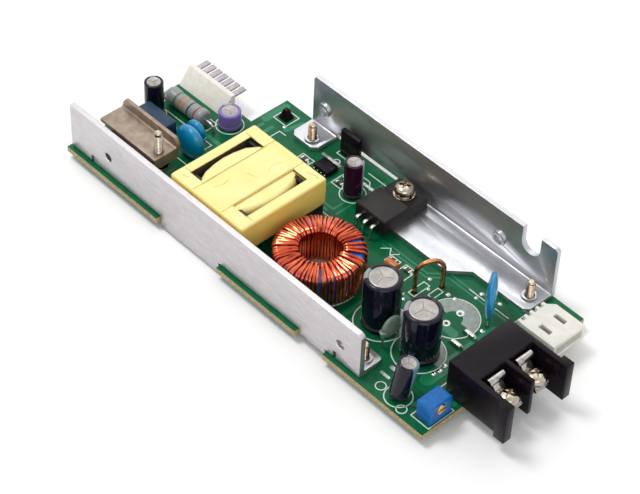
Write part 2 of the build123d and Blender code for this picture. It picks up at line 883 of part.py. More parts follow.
def electrolytic(place, diameter, height):
    """The can, sleeve and seal of an electrolytic capacitor that stands on its place."""
    radius = diameter / 2 - sleeve_wall
    top_round = diameter * sleeve_round_share
    lip_radius = radius - diameter * sleeve_lip_share
    axis = Axis(place.origin, place.z_dir)
    with BuildPart() as can:
        with BuildSketch(upright_section(place)):
            Rectangle(radius, height - sleeve_wall, align=(Align.MIN, Align.MIN))
            fillet(vertices().group_by(Axis.Y)[-1].sort_by(Axis.X)[-1], top_round)
            Rectangle(radius - seal_inset, seal_height, align=(Align.MIN, Align.MIN), mode=Mode.SUBTRACT)
        revolve(axis=axis)
    with BuildPart() as sleeve:
        with BuildSketch(upright_section(place)):
            Rectangle(diameter / 2, height, align=(Align.MIN, Align.MIN))
            fillet(vertices().group_by(Axis.Y)[-1].sort_by(Axis.X)[-1], top_round + sleeve_wall)
            with BuildSketch(mode=Mode.PRIVATE) as inside:
                Rectangle(radius, height - sleeve_wall, align=(Align.MIN, Align.MIN))
                fillet(vertices().group_by(Axis.Y)[-1].sort_by(Axis.X)[-1], top_round)
            add(inside.sketch, mode=Mode.SUBTRACT)
            Rectangle(lip_radius, height, align=(Align.MIN, Align.MIN), mode=Mode.SUBTRACT)
        revolve(axis=axis)
    with BuildPart() as seal:
        with BuildSketch(place):
            Circle(radius - seal_inset)
        extrude(amount=seal_height)
    return can.part, sleeve.part, seal.part


def lead_pair(x, y, spacing, turn=0.0):
    """The two places of a part's leads, at equal distances from its centre."""
    half = spacing / 2
    along = (half * cos(radians(turn)), half * sin(radians(turn)))
    return [(x - along[0], y - along[1]), (x + along[0], y + along[1])]


# Electrolytic capacitors, each with its own can and sleeve
lean_axis = Vector(0, 0, 1).rotate(Axis.Y, leaning_cap_tilt).rotate(Axis.Z, leaning_cap_heading)
lean_place = Plane(on_board(leaning_cap_x, leaning_cap_y, leaning_cap_lift).origin, z_dir=lean_axis)
standing_capacitors = {
    "output_capacitor_a": (on_board(output_cap_a_x, output_cap_a_y), output_cap_diameter, output_cap_a_height),
    "output_capacitor_b": (on_board(output_cap_b_x, output_cap_b_y), output_cap_diameter, output_cap_b_height),
    "input_capacitor": (on_board(input_cap_x, input_cap_y), small_cap_diameter, input_cap_height),
    "control_capacitor": (on_board(control_cap_x, control_cap_y), small_cap_diameter, control_cap_height),
    "low_capacitor": (on_board(low_cap_x, low_cap_y), low_cap_diameter, low_cap_height),
    "leaning_capacitor": (lean_place, small_cap_diameter, leaning_cap_height),
}
capacitor_parts = {}
seals = []
for name, (place, diameter, height) in standing_capacitors.items():
    can_part, sleeve_part, seal_part = electrolytic(place, diameter, height)
    can_part.label = name + "_can"
    sleeve_part.label = name + "_sleeve"
    capacitor_parts[can_part.label] = can_part
    capacitor_parts[sleeve_part.label] = sleeve_part
    seals.append(seal_part)

with BuildPart() as capacitor_seals:
    for seal_part in seals:
        add(seal_part)
capacitor_seals.part.label = "capacitor_seals"

lead_places = lead_pair(output_cap_a_x, output_cap_a_y, output_cap_spacing, 90)
lead_places += lead_pair(output_cap_b_x, output_cap_b_y, output_cap_spacing, 90)
lead_places += lead_pair(input_cap_x, input_cap_y, small_cap_spacing)
lead_places += lead_pair(control_cap_x, control_cap_y, small_cap_spacing)
lead_places += lead_pair(low_cap_x, low_cap_y, low_cap_spacing)
leaning_bases = lead_pair(leaning_cap_x, leaning_cap_y, small_cap_spacing, -leaning_cap_heading)
leaning_lead_top = leaning_cap_lift - lead_diameter / 2 * tan(radians(leaning_cap_tilt))
with BuildPart() as capacitor_leads:
    add(straight_leads(lead_places))
    add(straight_leads(leaning_bases, top=leaning_lead_top))
capacitor_leads.part.label = "capacitor_leads"

# Film capacitor
film_place = on_board(film_left + film_length / 2, film_front + film_width / 2)
with BuildPart(film_place) as film_capacitor:
    with BuildSketch(film_place):
        Rectangle(film_length, film_width)
    extrude(amount=film_height)
    fillet(film_capacitor.edges().filter_by(Axis.Z), film_round)
    chamfer(film_capacitor.edges().group_by(Axis.Z)[-1], film_round / 2)
film_capacitor.part.label = "film_capacitor"

# Power resistor: a lacquered rod with thicker ends
resistor_axis = Axis(on_board(resistor_left, resistor_y, resistor_height).origin, (1, 0, 0))
with BuildPart() as power_resistor_body:
    with BuildSketch(facing_front(resistor_left, resistor_y, resistor_height)):
        Rectangle(resistor_length, resistor_diameter / 2 - resistor_neck, align=(Align.MIN, Align.MIN))
        for end in (0, resistor_length - resistor_cap_length):
            with Locations((end, 0)):
                Rectangle(resistor_cap_length, resistor_diameter / 2, align=(Align.MIN, Align.MIN))
    revolve(axis=resistor_axis)
    chamfer(power_resistor_body.edges().group_by(Axis.X)[0], part_round)
    chamfer(power_resistor_body.edges().group_by(Axis.X)[-1], part_round)
power_resistor_body.part.label = "power_resistor_body"

with BuildPart() as power_resistor_leads:
    for start, end in ((resistor_left, resistor_lead_left), (resistor_left + resistor_length, resistor_lead_right)):
        add(
            bent_lead(
                [
                    (start, resistor_y, resistor_height),
                    (end, resistor_y, resistor_height),
                    (end, resistor_y, -board_thickness - lead_tail),
                ],
                pin_diameter,
                resistor_bend,
            )
        )


def disc(x, y, diameter, thickness, lift=disc_lift, turn=0.0):
    """A dipped disc that stands on edge, a lift above the board, its face turned from the front."""
    centre = on_board(x, y, lift + diameter / 2).origin
    axis = Axis(centre, (sin(radians(turn)), -cos(radians(turn)), 0))
    section = Plane(centre, x_dir=axis.direction, z_dir=(cos(radians(turn)), sin(radians(turn)), 0))
    with BuildPart() as body:
        with BuildSketch(section):
            Rectangle(thickness, diameter / 2, align=(Align.CENTER, Align.MIN))
            fillet(vertices().group_by(Axis.Y)[-1], disc_rim_share * thickness)
        revolve(axis=axis)
    return body.part


# Dipped disc capacitors, two at the input end and one at the output end
large_disc = disc(large_disc_x, large_disc_y, large_disc_diameter, large_disc_thickness)
large_disc.label = "large_disc_capacitor"
small_disc = disc(small_disc_x, small_disc_y, small_disc_diameter, small_disc_thickness)
small_disc.label = "small_disc_capacitor"
output_disc = disc(
    output_disc_x,
    output_disc_y,
    output_disc_diameter,
    output_disc_thickness,
    output_disc_lift,
    output_disc_angle,
)
output_disc.label = "output_disc_capacitor"
thermistor = disc(
    thermistor_x,
    thermistor_y,
    thermistor_diameter,
    thermistor_thickness,
    thermistor_lift,
    90,
)
thermistor.label = "thermistor"


def disc_leads(x, y, diameter, lift=disc_lift, turn=0.0):
    """The two leads of a disc, up to where its rounded edge begins."""
    inner_side = (disc_lead_spacing - lead_diameter) / 2
    reach = lift + diameter / 2 - ((diameter / 2) ** 2 - inner_side**2) ** 0.5
    return straight_leads(lead_pair(x, y, disc_lead_spacing, turn), top=reach)


film_spacing = film_length - 2 * film_lead_inset
upright_x = upright_left + upright_length / 2
upright_y = rear_inner - upright_gap - upright_thickness / 2
with BuildPart() as small_part_leads:
    add(disc_leads(large_disc_x, large_disc_y, large_disc_diameter))
    add(disc_leads(small_disc_x, small_disc_y, small_disc_diameter))
    add(
        disc_leads(
            output_disc_x,
            output_disc_y,
            output_disc_diameter,
            output_disc_lift,
            output_disc_angle,
        )
    )
    add(disc_leads(thermistor_x, thermistor_y, thermistor_diameter, thermistor_lift, 90))
    add(straight_leads(lead_pair(film_left + film_length / 2, film_front + film_width / 2, film_spacing)))
    add(straight_leads(lead_pair(upright_x, upright_y, 2 * connector_spacing)))
    add(power_resistor_leads.part)
small_part_leads.part.label = "small_part_leads"

# Terminal block: a stepped housing with three barriers, hooked at its outer corners
terminal_bay = (terminal_width - 2 * terminal_side_wall - terminal_middle_wall) / 2
bay_centres = [
    terminal_side_wall + terminal_bay / 2,
    terminal_width - terminal_side_wall - terminal_bay / 2,
]
terminal_place = on_board(terminal_x, terminal_front)
strip_start = terminal_back + contact_thickness
strip_end = terminal_depth - terminal_middle_setback - strip_setback
clamp_start = strip_start + clamp_clearance
clamp_length = strip_end - clamp_start
terminal_screw_x = clamp_start + clamp_length / 2
terminal_floor_depth = terminal_screw_x - screw_diameter / 2 - terminal_floor_clearance
with BuildPart(terminal_place) as terminal_housing:
    with BuildSketch(terminal_place):
        Rectangle(terminal_floor_depth, terminal_width, align=(Align.MIN, Align.MIN))
    extrude(amount=terminal_floor)
    with BuildSketch(terminal_place.offset(terminal_floor)):
        Rectangle(terminal_back, terminal_width, align=(Align.MIN, Align.MIN))
    extrude(amount=terminal_height - terminal_floor)
    with BuildSketch(terminal_place):
        barrier = terminal_depth - terminal_middle_setback
        with Locations((0, terminal_side_wall + terminal_bay)):
            Rectangle(barrier, terminal_middle_wall, align=(Align.MIN, Align.MIN))
        Rectangle(terminal_depth, terminal_side_wall, align=(Align.MIN, Align.MIN))
        with Locations((0, terminal_width)):
            Rectangle(terminal_depth, terminal_side_wall, align=(Align.MIN, Align.MAX))
        with Locations((terminal_depth, 0)):
            Rectangle(terminal_hook_length, terminal_hook, align=(Align.MAX, Align.MAX))
        with Locations((terminal_depth, terminal_width)):
            Rectangle(terminal_hook_length, terminal_hook, align=(Align.MAX, Align.MIN))
    extrude(amount=terminal_height)
terminal_housing.part.label = "terminal_housing"

# Each bay has a contact strip, a clamp plate and a screw
terminal_middles = [terminal_front + centre for centre in bay_centres]
terminal_pin_places = [(terminal_x + terminal_back / 2, middle) for middle in terminal_middles]
terminal_pins = straight_leads(terminal_pin_places, 2 * pin_diameter)
upright_strip = terminal_height - terminal_floor - 2 * contact_roll
with BuildPart() as terminal_contacts:
    for middle in terminal_middles:
        with BuildSketch(facing_front(terminal_x + terminal_back, middle + contact_width / 2, terminal_floor)):
            Rectangle(strip_end - terminal_back, contact_thickness, align=(Align.MIN, Align.MIN))
            Rectangle(contact_thickness, upright_strip, align=(Align.MIN, Align.MIN))
            with Locations((contact_roll, upright_strip)):
                Circle(contact_roll)
        extrude(amount=contact_width)
        with BuildSketch(on_board(terminal_x + terminal_screw_x, middle, terminal_floor)):
            Circle(screw_diameter / 2 + screw_thread_clearance)
        extrude(amount=contact_thickness, mode=Mode.SUBTRACT)
    add(terminal_pins)
terminal_contacts.part.label = "terminal_contacts"

clamp_height = terminal_floor + contact_thickness
with BuildPart() as terminal_clamps:
    for middle in terminal_middles:
        with BuildSketch(on_board(terminal_x + terminal_screw_x, middle, clamp_height)):
            Rectangle(clamp_length, contact_width)
            chamfer(vertices(), clamp_corner)
            Circle(screw_diameter / 2 + screw_thread_clearance, mode=Mode.SUBTRACT)
        extrude(amount=clamp_thickness)
terminal_clamps.part.label = "terminal_clamps"

with BuildPart() as terminal_screws:
    for middle in terminal_middles:
        head_place = on_board(terminal_x + terminal_screw_x, middle, clamp_height + clamp_thickness)
        add(pan_head_screw(head_place, terminal_floor))
terminal_screws.part.label = "terminal_screws"


# Signal connector: a shrouded socket open at the board's end, with a chamfered rear corner
connector_place = on_board(connector_x, connector_front)
connector_middle = connector_front + connector_width / 2
socket_place = facing_output(connector_x + connector_back, connector_front)
with BuildPart(connector_place) as connector_housing:
    with BuildSketch(connector_place):
        Rectangle(connector_length, connector_width, align=(Align.MIN, Align.MIN))
        chamfer(vertices().group_by(Axis.X)[0].sort_by(Axis.Y)[-1], connector_chamfer)
    extrude(amount=connector_height)
    with BuildSketch(socket_place):
        with Locations((connector_wall, connector_wall)):
            inside_width = connector_width - 2 * connector_wall
            inside_height = connector_height - 2 * connector_wall
            Rectangle(inside_width, inside_height, align=(Align.MIN, Align.MIN))
    extrude(amount=connector_length - connector_back, mode=Mode.SUBTRACT)
    with BuildSketch(connector_place.offset(connector_height)):
        for share in (-1, 1):
            with Locations((connector_length / 2, connector_width / 2 + share * connector_spacing)):
                Rectangle(connector_window_length, connector_window_width)
    extrude(amount=-connector_wall, mode=Mode.SUBTRACT)
connector_housing.part.label = "connector_housing"

connector_pin_x = connector_x + connector_back - lead_diameter
with BuildPart() as connector_pins:
    for place in (-1, 0, 1):
        pin_y = connector_middle + place * connector_spacing
        with BuildSketch(facing_output(connector_x + connector_back, pin_y, connector_height / 2)):
            Rectangle(lead_diameter, lead_diameter)
        extrude(amount=connector_length - connector_back - connector_wall)
    add(straight_leads([(connector_pin_x - lead_diameter, connector_middle + place * connector_spacing) for place in (-1, 0, 1)]))
connector_pins.part.label = "connector_pins"

# Input header: a leaning wall with flat pins that point over the board's stepped corner
header_back = board_width - step_width + header_overhang
header_front = header_back - header_base_depth - header_wall
header_place = facing_output(header_left, 0)
with BuildPart() as header_body:
    with BuildSketch(header_place):
        with BuildLine():
            Polyline(
                (header_front, 0),
                (header_front + header_lean, header_height),
                (header_front + header_lean + header_wall, header_height),
                (header_back, header_base_height),
                (header_back, 0),
                close=True,
            )
        make_face()
    extrude(amount=header_length)
header_body.part.label = "header_body"

header_first = header_left + header_length / 2 - (header_pins - 1) / 2 * header_spacing
header_tail_y = header_back - header_tail_inset
header_tails = straight_leads([(header_first + pin * header_spacing, header_tail_y) for pin in range(header_pins)])
with BuildPart() as header_pin_strips:
    for pin in range(header_pins):
        pin_x = header_first + pin * header_spacing
        with BuildSketch(facing_output(pin_x - header_pin_width / 2, 0, header_pin_height)):
            with Locations((header_back, 0)):
                Rectangle(header_pin_reach, header_pin_thickness, align=(Align.MIN, Align.MIN))
        extrude(amount=header_pin_width)
    add(header_tails)
header_pin_strips.part.label = "header_pins"

# Trimmer: a small box with a slotted rotor in its output side, the one part that turns
trimmer_place = on_board(trimmer_left, trimmer_front)
trimmer_right = trimmer_left + trimmer_length
rotor_seat = facing_output(trimmer_right - rotor_depth, trimmer_front + rotor_y, rotor_height)
with BuildPart(trimmer_place) as trimmer_body:
    with BuildSketch(trimmer_place):
        Rectangle(trimmer_length, trimmer_width, align=(Align.MIN, Align.MIN))
    extrude(amount=trimmer_height)
    fillet(trimmer_body.edges().group_by(Axis.Z)[-1], trimmer_round)
    with BuildSketch(rotor_seat):
        Circle(rotor_radius + rotor_clearance)
    extrude(amount=rotor_depth, mode=Mode.SUBTRACT)
trimmer_body.part.label = "trimmer_body"

with BuildPart() as trimmer_rotor:
    with BuildSketch(rotor_seat.offset(rotor_clearance)):
        Circle(rotor_radius)
    extrude(amount=rotor_depth - rotor_clearance + rotor_proud)
    with BuildSketch(rotor_seat.offset(rotor_depth + rotor_proud)):
        Rectangle(2 * rotor_radius, rotor_slot_width)
    extrude(amount=-rotor_slot_depth, mode=Mode.SUBTRACT)
trimmer_rotor.part.label = "trimmer_rotor"

trimmer_middle = trimmer_front + trimmer_width / 2
trimmer_pins = straight_leads(
    [
        (trimmer_left + trimmer_length / 2, trimmer_middle - trimmer_pin_pitch),
        (trimmer_left + trimmer_length / 2, trimmer_middle),
        (trimmer_left + trimmer_length / 2, trimmer_middle + trimmer_pin_pitch),
    ]
)
trimmer_pins.label = "trimmer_pins"

# Control chip with gull-wing leads on both long sides
chip_place = on_board(chip_left, chip_front)
with BuildPart(chip_place) as chip_body:
    with BuildSketch(chip_place.offset(chip_stand)):
        Rectangle(chip_length, chip_width, align=(Align.MIN, Align.MIN))
    extrude(amount=chip_height)
chip_body.part.label = "chip_body"

with BuildPart() as chip_leads:
    for lead in range(chip_lead_count):
        lead_x = chip_left + chip_length / 2 + (lead - (chip_lead_count - 1) / 2) * chip_lead_pitch
        for side, edge in ((-1, chip_front), (1, chip_front + chip_width)):
            with BuildSketch(facing_output(lead_x - chip_lead_width / 2, 0)):
                with BuildLine():
                    Polyline(
                        (edge, chip_lead_drop),
                        (edge + side * chip_lead_reach / 3, chip_lead_drop),
                        (edge + side * chip_lead_reach / 2, chip_lead_thickness / 2),
                        (edge + side * chip_lead_reach, chip_lead_thickness / 2),
                    )
                trace(line_width=chip_lead_thickness)
            extrude(amount=chip_lead_width)
chip_leads.part.label = "chip_leads"

# Surface parts beside the chip and near the rear flange
surface_places = [(55.4, 42.6), (55.4, 45.0), (43.2, 42.0), (43.6, 36.2), (83.6, 33.4), (88.4, 33.8), (88.2, 30.2)]
with BuildPart() as surface_parts:
    with BuildSketch(on_board(0, 0)):
        with Locations(*surface_places):
            Rectangle(chip_part_length, chip_part_width)
    extrude(amount=chip_part_height)
surface_parts.part.label = "surface_parts"

# Tapered diode beside the stepped corner
diode_place = on_board(diode_x, diode_y)
with BuildPart(diode_place) as surface_diode:
    with BuildSketch(diode_place):
        Rectangle(diode_base, diode_base)
    with BuildSketch(diode_place.offset(diode_height)):
        Rectangle(diode_top, diode_top)
    loft()
surface_diode.part.label = "surface_diode"

# Upright flat part against the rear bracket
with BuildPart(on_board(upright_x, upright_y)) as upright_part:
    with BuildSketch(on_board(upright_x, upright_y)):
        Rectangle(upright_length, upright_thickness)
    extrude(amount=upright_height)
    fillet(upright_part.edges().filter_by(Axis.Z), upright_round)
upright_part.part.label = "upright_part"

# Bead choke, lying on the board
bead_axis = Axis(on_board(bead_x, bead_y, bead_height).origin, (1, 0, 0))
with BuildPart() as bead:
    with BuildSketch(facing_front(bead_x, bead_y, bead_height)):
        with Locations((0, bead_diameter / 4)):
            Rectangle(bead_length, bead_diameter / 2)
    revolve(axis=bead_axis)
bead.part.label = "bead_choke"

# Wire loop beside the rear flange
with BuildPart() as wire_loop:
    with BuildLine() as loop_path:
        FilletPolyline(
            on_board(loop_start_x, loop_start_y, -board_thickness - lead_tail).origin,
            on_board(loop_start_x, loop_start_y, loop_height).origin,
            on_board(loop_end_x, loop_end_y, loop_height).origin,
            on_board(loop_end_x, loop_end_y, -board_thickness - lead_tail).origin,
            radius=loop_bend,
        )
    with BuildSketch(Plane(loop_path.line @ 0, z_dir=loop_path.line % 0)):
        Circle(loop_wire / 2)
    sweep(path=loop_path.line)
wire_loop.part.label = "wire_loop"
drill(loop_start_x, loop_start_y, loop_wire)
drill(loop_end_x, loop_end_y, loop_wire)

# Tinned straps behind the terminal block
with BuildPart() as tinned_straps:
    for strap in range(2):
        with BuildSketch(facing_front(strap_x, strap_y + strap * strap_spacing)):
            Rectangle(strap_length, strap_height, align=(Align.CENTER, Align.MIN))
            chamfer(vertices().group_by(Axis.Y)[-1], strap_height / 2)
        extrude(amount=strap_width)
tinned_straps.part.label = "tinned_straps"

# Two holes of a place left empty for a larger capacitor
for empty_x, empty_y in lead_pair(empty_cap_x, empty_cap_y, empty_cap_spacing, 90):
    drill(empty_x, empty_y, pin_diameter)

# Circuit board: stepped at one rear corner, notched for the front bracket's tabs, and drilled
notch_depth = front_inner + edge_clearance
with BuildPart() as circuit_board:
    with BuildSketch(on_board(0, 0, -board_thickness)):
        with BuildLine():
            Polyline(
                (0, 0),
                (board_length, 0),
                (board_length, board_width),
                (step_length, board_width),
                (step_length, board_width - step_width),
                (0, board_width - step_width),
                close=True,
            )
        make_face()
        for tab_left, width in ((input_tab_left, input_tab_width), (output_tab_left, output_tab_width)):
            with Locations((tab_left - edge_clearance, 0)):
                notch_width = width + 2 * edge_clearance
                Rectangle(notch_width, notch_depth, align=(Align.MIN, Align.MIN), mode=Mode.SUBTRACT)
        for hole_x, hole_y, hole_radius in drills:
            with Locations((hole_x, hole_y)):
                Circle(hole_radius, mode=Mode.SUBTRACT)
    extrude(amount=board_thickness)
circuit_board.part.label = "circuit_board"

# Every piece goes to its own file
pieces = [
    circuit_board.part,
    front_bracket.part,
    rear_bracket.part,
    bracket_screws.part,
    power_device_body.part,
    power_device_leads.part,
    device_washers,
    device_screw,
    heatsink.part,
    sink_device_body.part,
    sink_device_leads.part,
    sink_screw,
    transformer_core.part,
    transformer_bobbin.part,
    transformer_winding.part,
    transformer_tape_wrap.part,
    transformer_pin_rods,
    toroid_core.part,
    toroid_winding.part,
    toroid_base.part,
    *capacitor_parts.values(),
    capacitor_seals.part,
    capacitor_leads.part,
    film_capacitor.part,
    power_resistor_body.part,
    large_disc,
    small_disc,
    output_disc,
    thermistor,
    small_part_leads.part,
    terminal_housing.part,
    terminal_contacts.part,
    terminal_clamps.part,
    terminal_screws.part,
    connector_housing.part,
    connector_pins.part,
    header_body.part,
    header_pin_strips.part,
    trimmer_body.part,
    trimmer_rotor.part,
    trimmer_pins,
    chip_body.part,
    chip_leads.part,
    surface_parts.part,
    surface_diode.part,
    upright_part.part,
    bead.part,
    wire_loop.part,
    tinned_straps.part,
]
os.makedirs("parts", exist_ok=True)
for piece in pieces:
    export_step(piece, "parts/" + piece.label + ".step")
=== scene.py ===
import json
import random
from math import cos, pi, radians, sin, tan, tau

import bmesh
import bpy
from bmesh.types import BMEdge, BMVert
from mathutils import Matrix, Vector


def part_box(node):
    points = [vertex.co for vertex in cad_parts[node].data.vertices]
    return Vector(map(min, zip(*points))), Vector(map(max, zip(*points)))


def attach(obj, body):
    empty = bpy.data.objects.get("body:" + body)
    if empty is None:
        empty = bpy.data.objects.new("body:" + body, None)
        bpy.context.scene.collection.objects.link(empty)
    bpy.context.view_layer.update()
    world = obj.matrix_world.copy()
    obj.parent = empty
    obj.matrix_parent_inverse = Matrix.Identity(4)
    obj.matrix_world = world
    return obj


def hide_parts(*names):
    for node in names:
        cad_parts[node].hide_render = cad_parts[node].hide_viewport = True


# An open-frame switching power supply on a white ground. Lengths are in metres, but each part is
# modelled in millimetres at its own origin and then placed. Places on the circuit board are given
# in millimetres, as x from its input end, y from its front edge and z above its top.

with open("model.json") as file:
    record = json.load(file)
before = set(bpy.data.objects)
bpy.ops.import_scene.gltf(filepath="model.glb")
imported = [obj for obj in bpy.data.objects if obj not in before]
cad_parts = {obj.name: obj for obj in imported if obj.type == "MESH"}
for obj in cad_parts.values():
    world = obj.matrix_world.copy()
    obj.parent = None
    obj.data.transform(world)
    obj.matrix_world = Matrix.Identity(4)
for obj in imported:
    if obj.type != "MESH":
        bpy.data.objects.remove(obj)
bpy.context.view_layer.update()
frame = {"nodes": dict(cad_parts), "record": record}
nodes = frame["nodes"]
slots = {entry["node"]: entry["material_slot"] for entry in frame["record"]["subparts"]}
board_low, board_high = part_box("circuit_board")
MM = 0.001
BOARD = 1.6

# Places of the larger parts on the board, and how far back its two terminals lie
TRANSFORMER = (49.3, 17.3)
TOROID = (76, 16)
OUTPUT_CAPACITOR_A = (95.9, 17.2)
OUTPUT_CAPACITOR_B = (109.0, 17.2)
INPUT_CAPACITOR = (4.8, 24.7)
CONTROL_CAPACITOR = (60.2, 42.4)
LOW_CAPACITOR = (20.8, 36.4)
LEANING_CAPACITOR = (115.2, 4.2)
TERMINAL_ROWS = (18.15, 27.25)


def at(x, y, z=0.0):
    """A place on the board, in the frame."""
    return Vector((board_low.x + x * MM, board_low.y + y * MM, board_high.z + z * MM))


# Material building blocks


def new_material(name, colour, roughness, metallic, gloss=0.5):
    """A material whose shader has its plain values set."""
    material = bpy.data.materials.new(name)
    material.use_nodes = True
    shader = material.node_tree.nodes["Principled BSDF"]
    shader.inputs["Base Color"].default_value = (*colour, 1)
    shader.inputs["Roughness"].default_value = roughness
    shader.inputs["Metallic"].default_value = metallic
    shader.inputs["Specular IOR Level"].default_value = gloss
    return material


def lacquer(material, coat, roughness):
    """A clear coat over the finish."""
    shader = material.node_tree.nodes["Principled BSDF"]
    shader.inputs["Coat Weight"].default_value = coat
    shader.inputs["Coat Roughness"].default_value = roughness
    return material


def object_place(material, stretch=(1, 1, 1), centre=None, turn=0.0):
    """Object coordinates, measured from a centre, turned about Z and stretched along each axis."""
    tree = material.node_tree
    coordinates = tree.nodes.new("ShaderNodeTexCoord")
    place = coordinates.outputs["Object"]
    if centre is not None:
        shift = tree.nodes.new("ShaderNodeMapping")
        shift.inputs["Location"].default_value = -centre
        tree.links.new(place, shift.inputs["Vector"])
        place = shift.outputs["Vector"]
    mapping = tree.nodes.new("ShaderNodeMapping")
    mapping.inputs["Rotation"].default_value = (0, 0, turn)
    mapping.inputs["Scale"].default_value = stretch
    tree.links.new(place, mapping.inputs["Vector"])
    return mapping.outputs["Vector"]


def grain(material, scale, detail, stretch=(1, 1, 1)):
    """Noise over the object's own coordinates, as a factor."""
    tree = material.node_tree
    noise = tree.nodes.new("ShaderNodeTexNoise")
    noise.inputs["Scale"].default_value = scale
    noise.inputs["Detail"].default_value = detail
    tree.links.new(object_place(material, stretch), noise.inputs["Vector"])
    return noise.outputs["Fac"]


def ramp(material, factor, stops, stepped=False):
    """A colour for each value of a factor, from (value, colour) stops."""
    tree = material.node_tree
    node = tree.nodes.new("ShaderNodeValToRGB")
    if stepped:
        node.color_ramp.interpolation = "CONSTANT"
    elements = node.color_ramp.elements
    while len(elements) < len(stops):
        elements.new(0.5)
    for element, (value, colour) in zip(elements, stops):
        element.position = value
        element.color = (*colour, 1)
    tree.links.new(factor, node.inputs["Fac"])
    return node.outputs["Color"]


def between(material, factor, low, high, start=0.0, end=1.0):
    """A number that goes from low to high as a factor goes from start to end."""
    tree = material.node_tree
    node = tree.nodes.new("ShaderNodeMapRange")
    for name, value in (("From Min", start), ("From Max", end), ("To Min", low), ("To Max", high)):
        node.inputs[name].default_value = value
    tree.links.new(factor, node.inputs["Value"])
    return node.outputs["Result"]


def along(material, vector, axis):
    """One coordinate of a vector."""
    tree = material.node_tree
    node = tree.nodes.new("ShaderNodeSeparateXYZ")
    tree.links.new(vector, node.inputs["Vector"])
    return node.outputs[axis]


def upward(material):
    """One where the surface looks up, nought on its sides and minus one below."""
    coordinates = material.node_tree.nodes.new("ShaderNodeTexCoord")
    return along(material, coordinates.outputs["Normal"], "Z")


def reckoned(tree, operation, *sources, kind="ShaderNodeMath"):
    """The value of an operation on one or two sources."""
    node = tree.nodes.new(kind)
    node.operation = operation
    for socket, source in zip(node.inputs, sources):
        tree.links.new(source, socket)
    return node.outputs["Value"]


def blended(material, factor, first, second):
    """Two colours mixed by a factor."""
    tree = material.node_tree
    node = tree.nodes.new("ShaderNodeMix")
    node.data_type = "RGBA"
    tree.links.new(factor, node.inputs["Factor"])
    for socket, colour in ((node.inputs[6], first), (node.inputs[7], second)):
        if isinstance(colour, tuple):
            socket.default_value = (*colour, 1)
        else:
            tree.links.new(colour, socket)
    return node.outputs[2]


def set_from(material, name, source):
    """Feeds a socket of the shader."""
    shader = material.node_tree.nodes["Principled BSDF"]
    material.node_tree.links.new(source, shader.inputs[name])


def emboss(material, factor, depth):
    """Relief of a depth in metres."""
    tree = material.node_tree
    bump = tree.nodes.new("ShaderNodeBump")
    bump.inputs["Strength"].default_value = 1.0
    bump.inputs["Distance"].default_value = depth
    tree.links.new(factor, bump.inputs["Height"])
    set_from(material, "Normal", bump.outputs["Normal"])


def mottled(name, colour, second, roughness, scale, metallic=0.0, depth=0.0, gloss=0.5):
    """A finish whose colour and gloss wander slightly."""
    material = new_material(name, colour, roughness, metallic, gloss)
    wander = grain(material, scale, 3)
    set_from(material, "Base Color", ramp(material, wander, [(0.35, colour), (0.65, second)]))
    set_from(material, "Roughness", between(material, wander, roughness * 0.8, roughness * 1.2))
    if depth:
        emboss(material, grain(material, 2.5 * scale, 2), depth)
    return material


# Finishes


def board_green():
    """Green solder mask over the glass weave; the laminate's own brown shows on the cut edges."""
    material = lacquer(new_material("board_laminate", (0.0, 0.1, 0.04), 0.4, 0.0, 0.12), 0.12, 0.08)
    greens = [(0.3, (0.0, 0.095, 0.034)), (0.7, (0.001, 0.135, 0.052))]
    browns = [(0.4, (0.32, 0.22, 0.1)), (0.6, (0.5, 0.4, 0.22))]
    mask = ramp(material, grain(material, 260, 4), greens)
    edge = ramp(material, grain(material, 2600, 3), browns)
    level = reckoned(material.node_tree, "ABSOLUTE", upward(material))
    flat = between(material, level, 0, 1, 0.4, 0.6)
    set_from(material, "Base Color", blended(material, flat, edge, mask))
    emboss(material, grain(material, 1500, 1, (1, 1, 0.1)), 4e-6)
    return material


def brushed_aluminium(name, low, high, roughness):
    """Sheet with fine lines along its length."""
    material = new_material(name, high, roughness, 0.92)
    lines = grain(material, 420, 6, (1, 14, 14))
    set_from(material, "Base Color", ramp(material, lines, [(0.3, low), (0.7, high)]))
    set_from(material, "Roughness", between(material, lines, roughness, roughness * 1.5))
    emboss(material, lines, 5e-6)
    return material


def yellow_tape():
    """Pale film tape with painted shade on its upright sides, which take a deeper yellow, uneven
    under its gloss.
    """
    material = lacquer(new_material("yellow_tape", (0.9, 0.74, 0.3), 0.35, 0.0, 0.4), 0.4, 0.12)
    yellows = [(0.35, (0.9, 0.77, 0.27)), (0.7, (0.96, 0.85, 0.38))]
    layers = ramp(material, grain(material, 110, 2), yellows)
    # Painted shade: the upright sides take a deeper yellow than the top, standing in for their
    # shade.
    flat = between(material, upward(material), 0, 1, 0.2, 0.9)
    set_from(material, "Base Color", blended(material, flat, (0.98, 0.72, 0.17), layers))
    emboss(material, grain(material, 160, 3, (1, 2.5, 2.5)), 1.2e-4)
    return material


def striped_sleeve(name, colour, stripe_and_reflection, place, heading, width=0.13):
    """Shrunk sleeve with one pale band down its side, which faces a heading in degrees; the band is
    the sleeve's marking and also a painted reflection.
    """
    material = lacquer(new_material(name, colour, 0.16, 0.0, 0.15), 0.3, 0.05)
    tree = material.node_tree
    sweep = tree.nodes.new("ShaderNodeTexGradient")
    sweep.gradient_type = "RADIAL"
    around = object_place(material, (1, 1, 1), at(*place), -radians(heading))
    tree.links.new(around, sweep.inputs["Vector"])
    # The pale band is the sleeve's marking and also a painted reflection on the sleeve.
    edges = [(0.0, colour), (0.5 - width / 2, stripe_and_reflection), (0.5 + width / 2, colour)]
    set_from(material, "Base Color", ramp(material, sweep.outputs["Fac"], edges, True))
    emboss(material, grain(material, 350, 2, (1, 1, 0.3)), 2e-5)
    return material


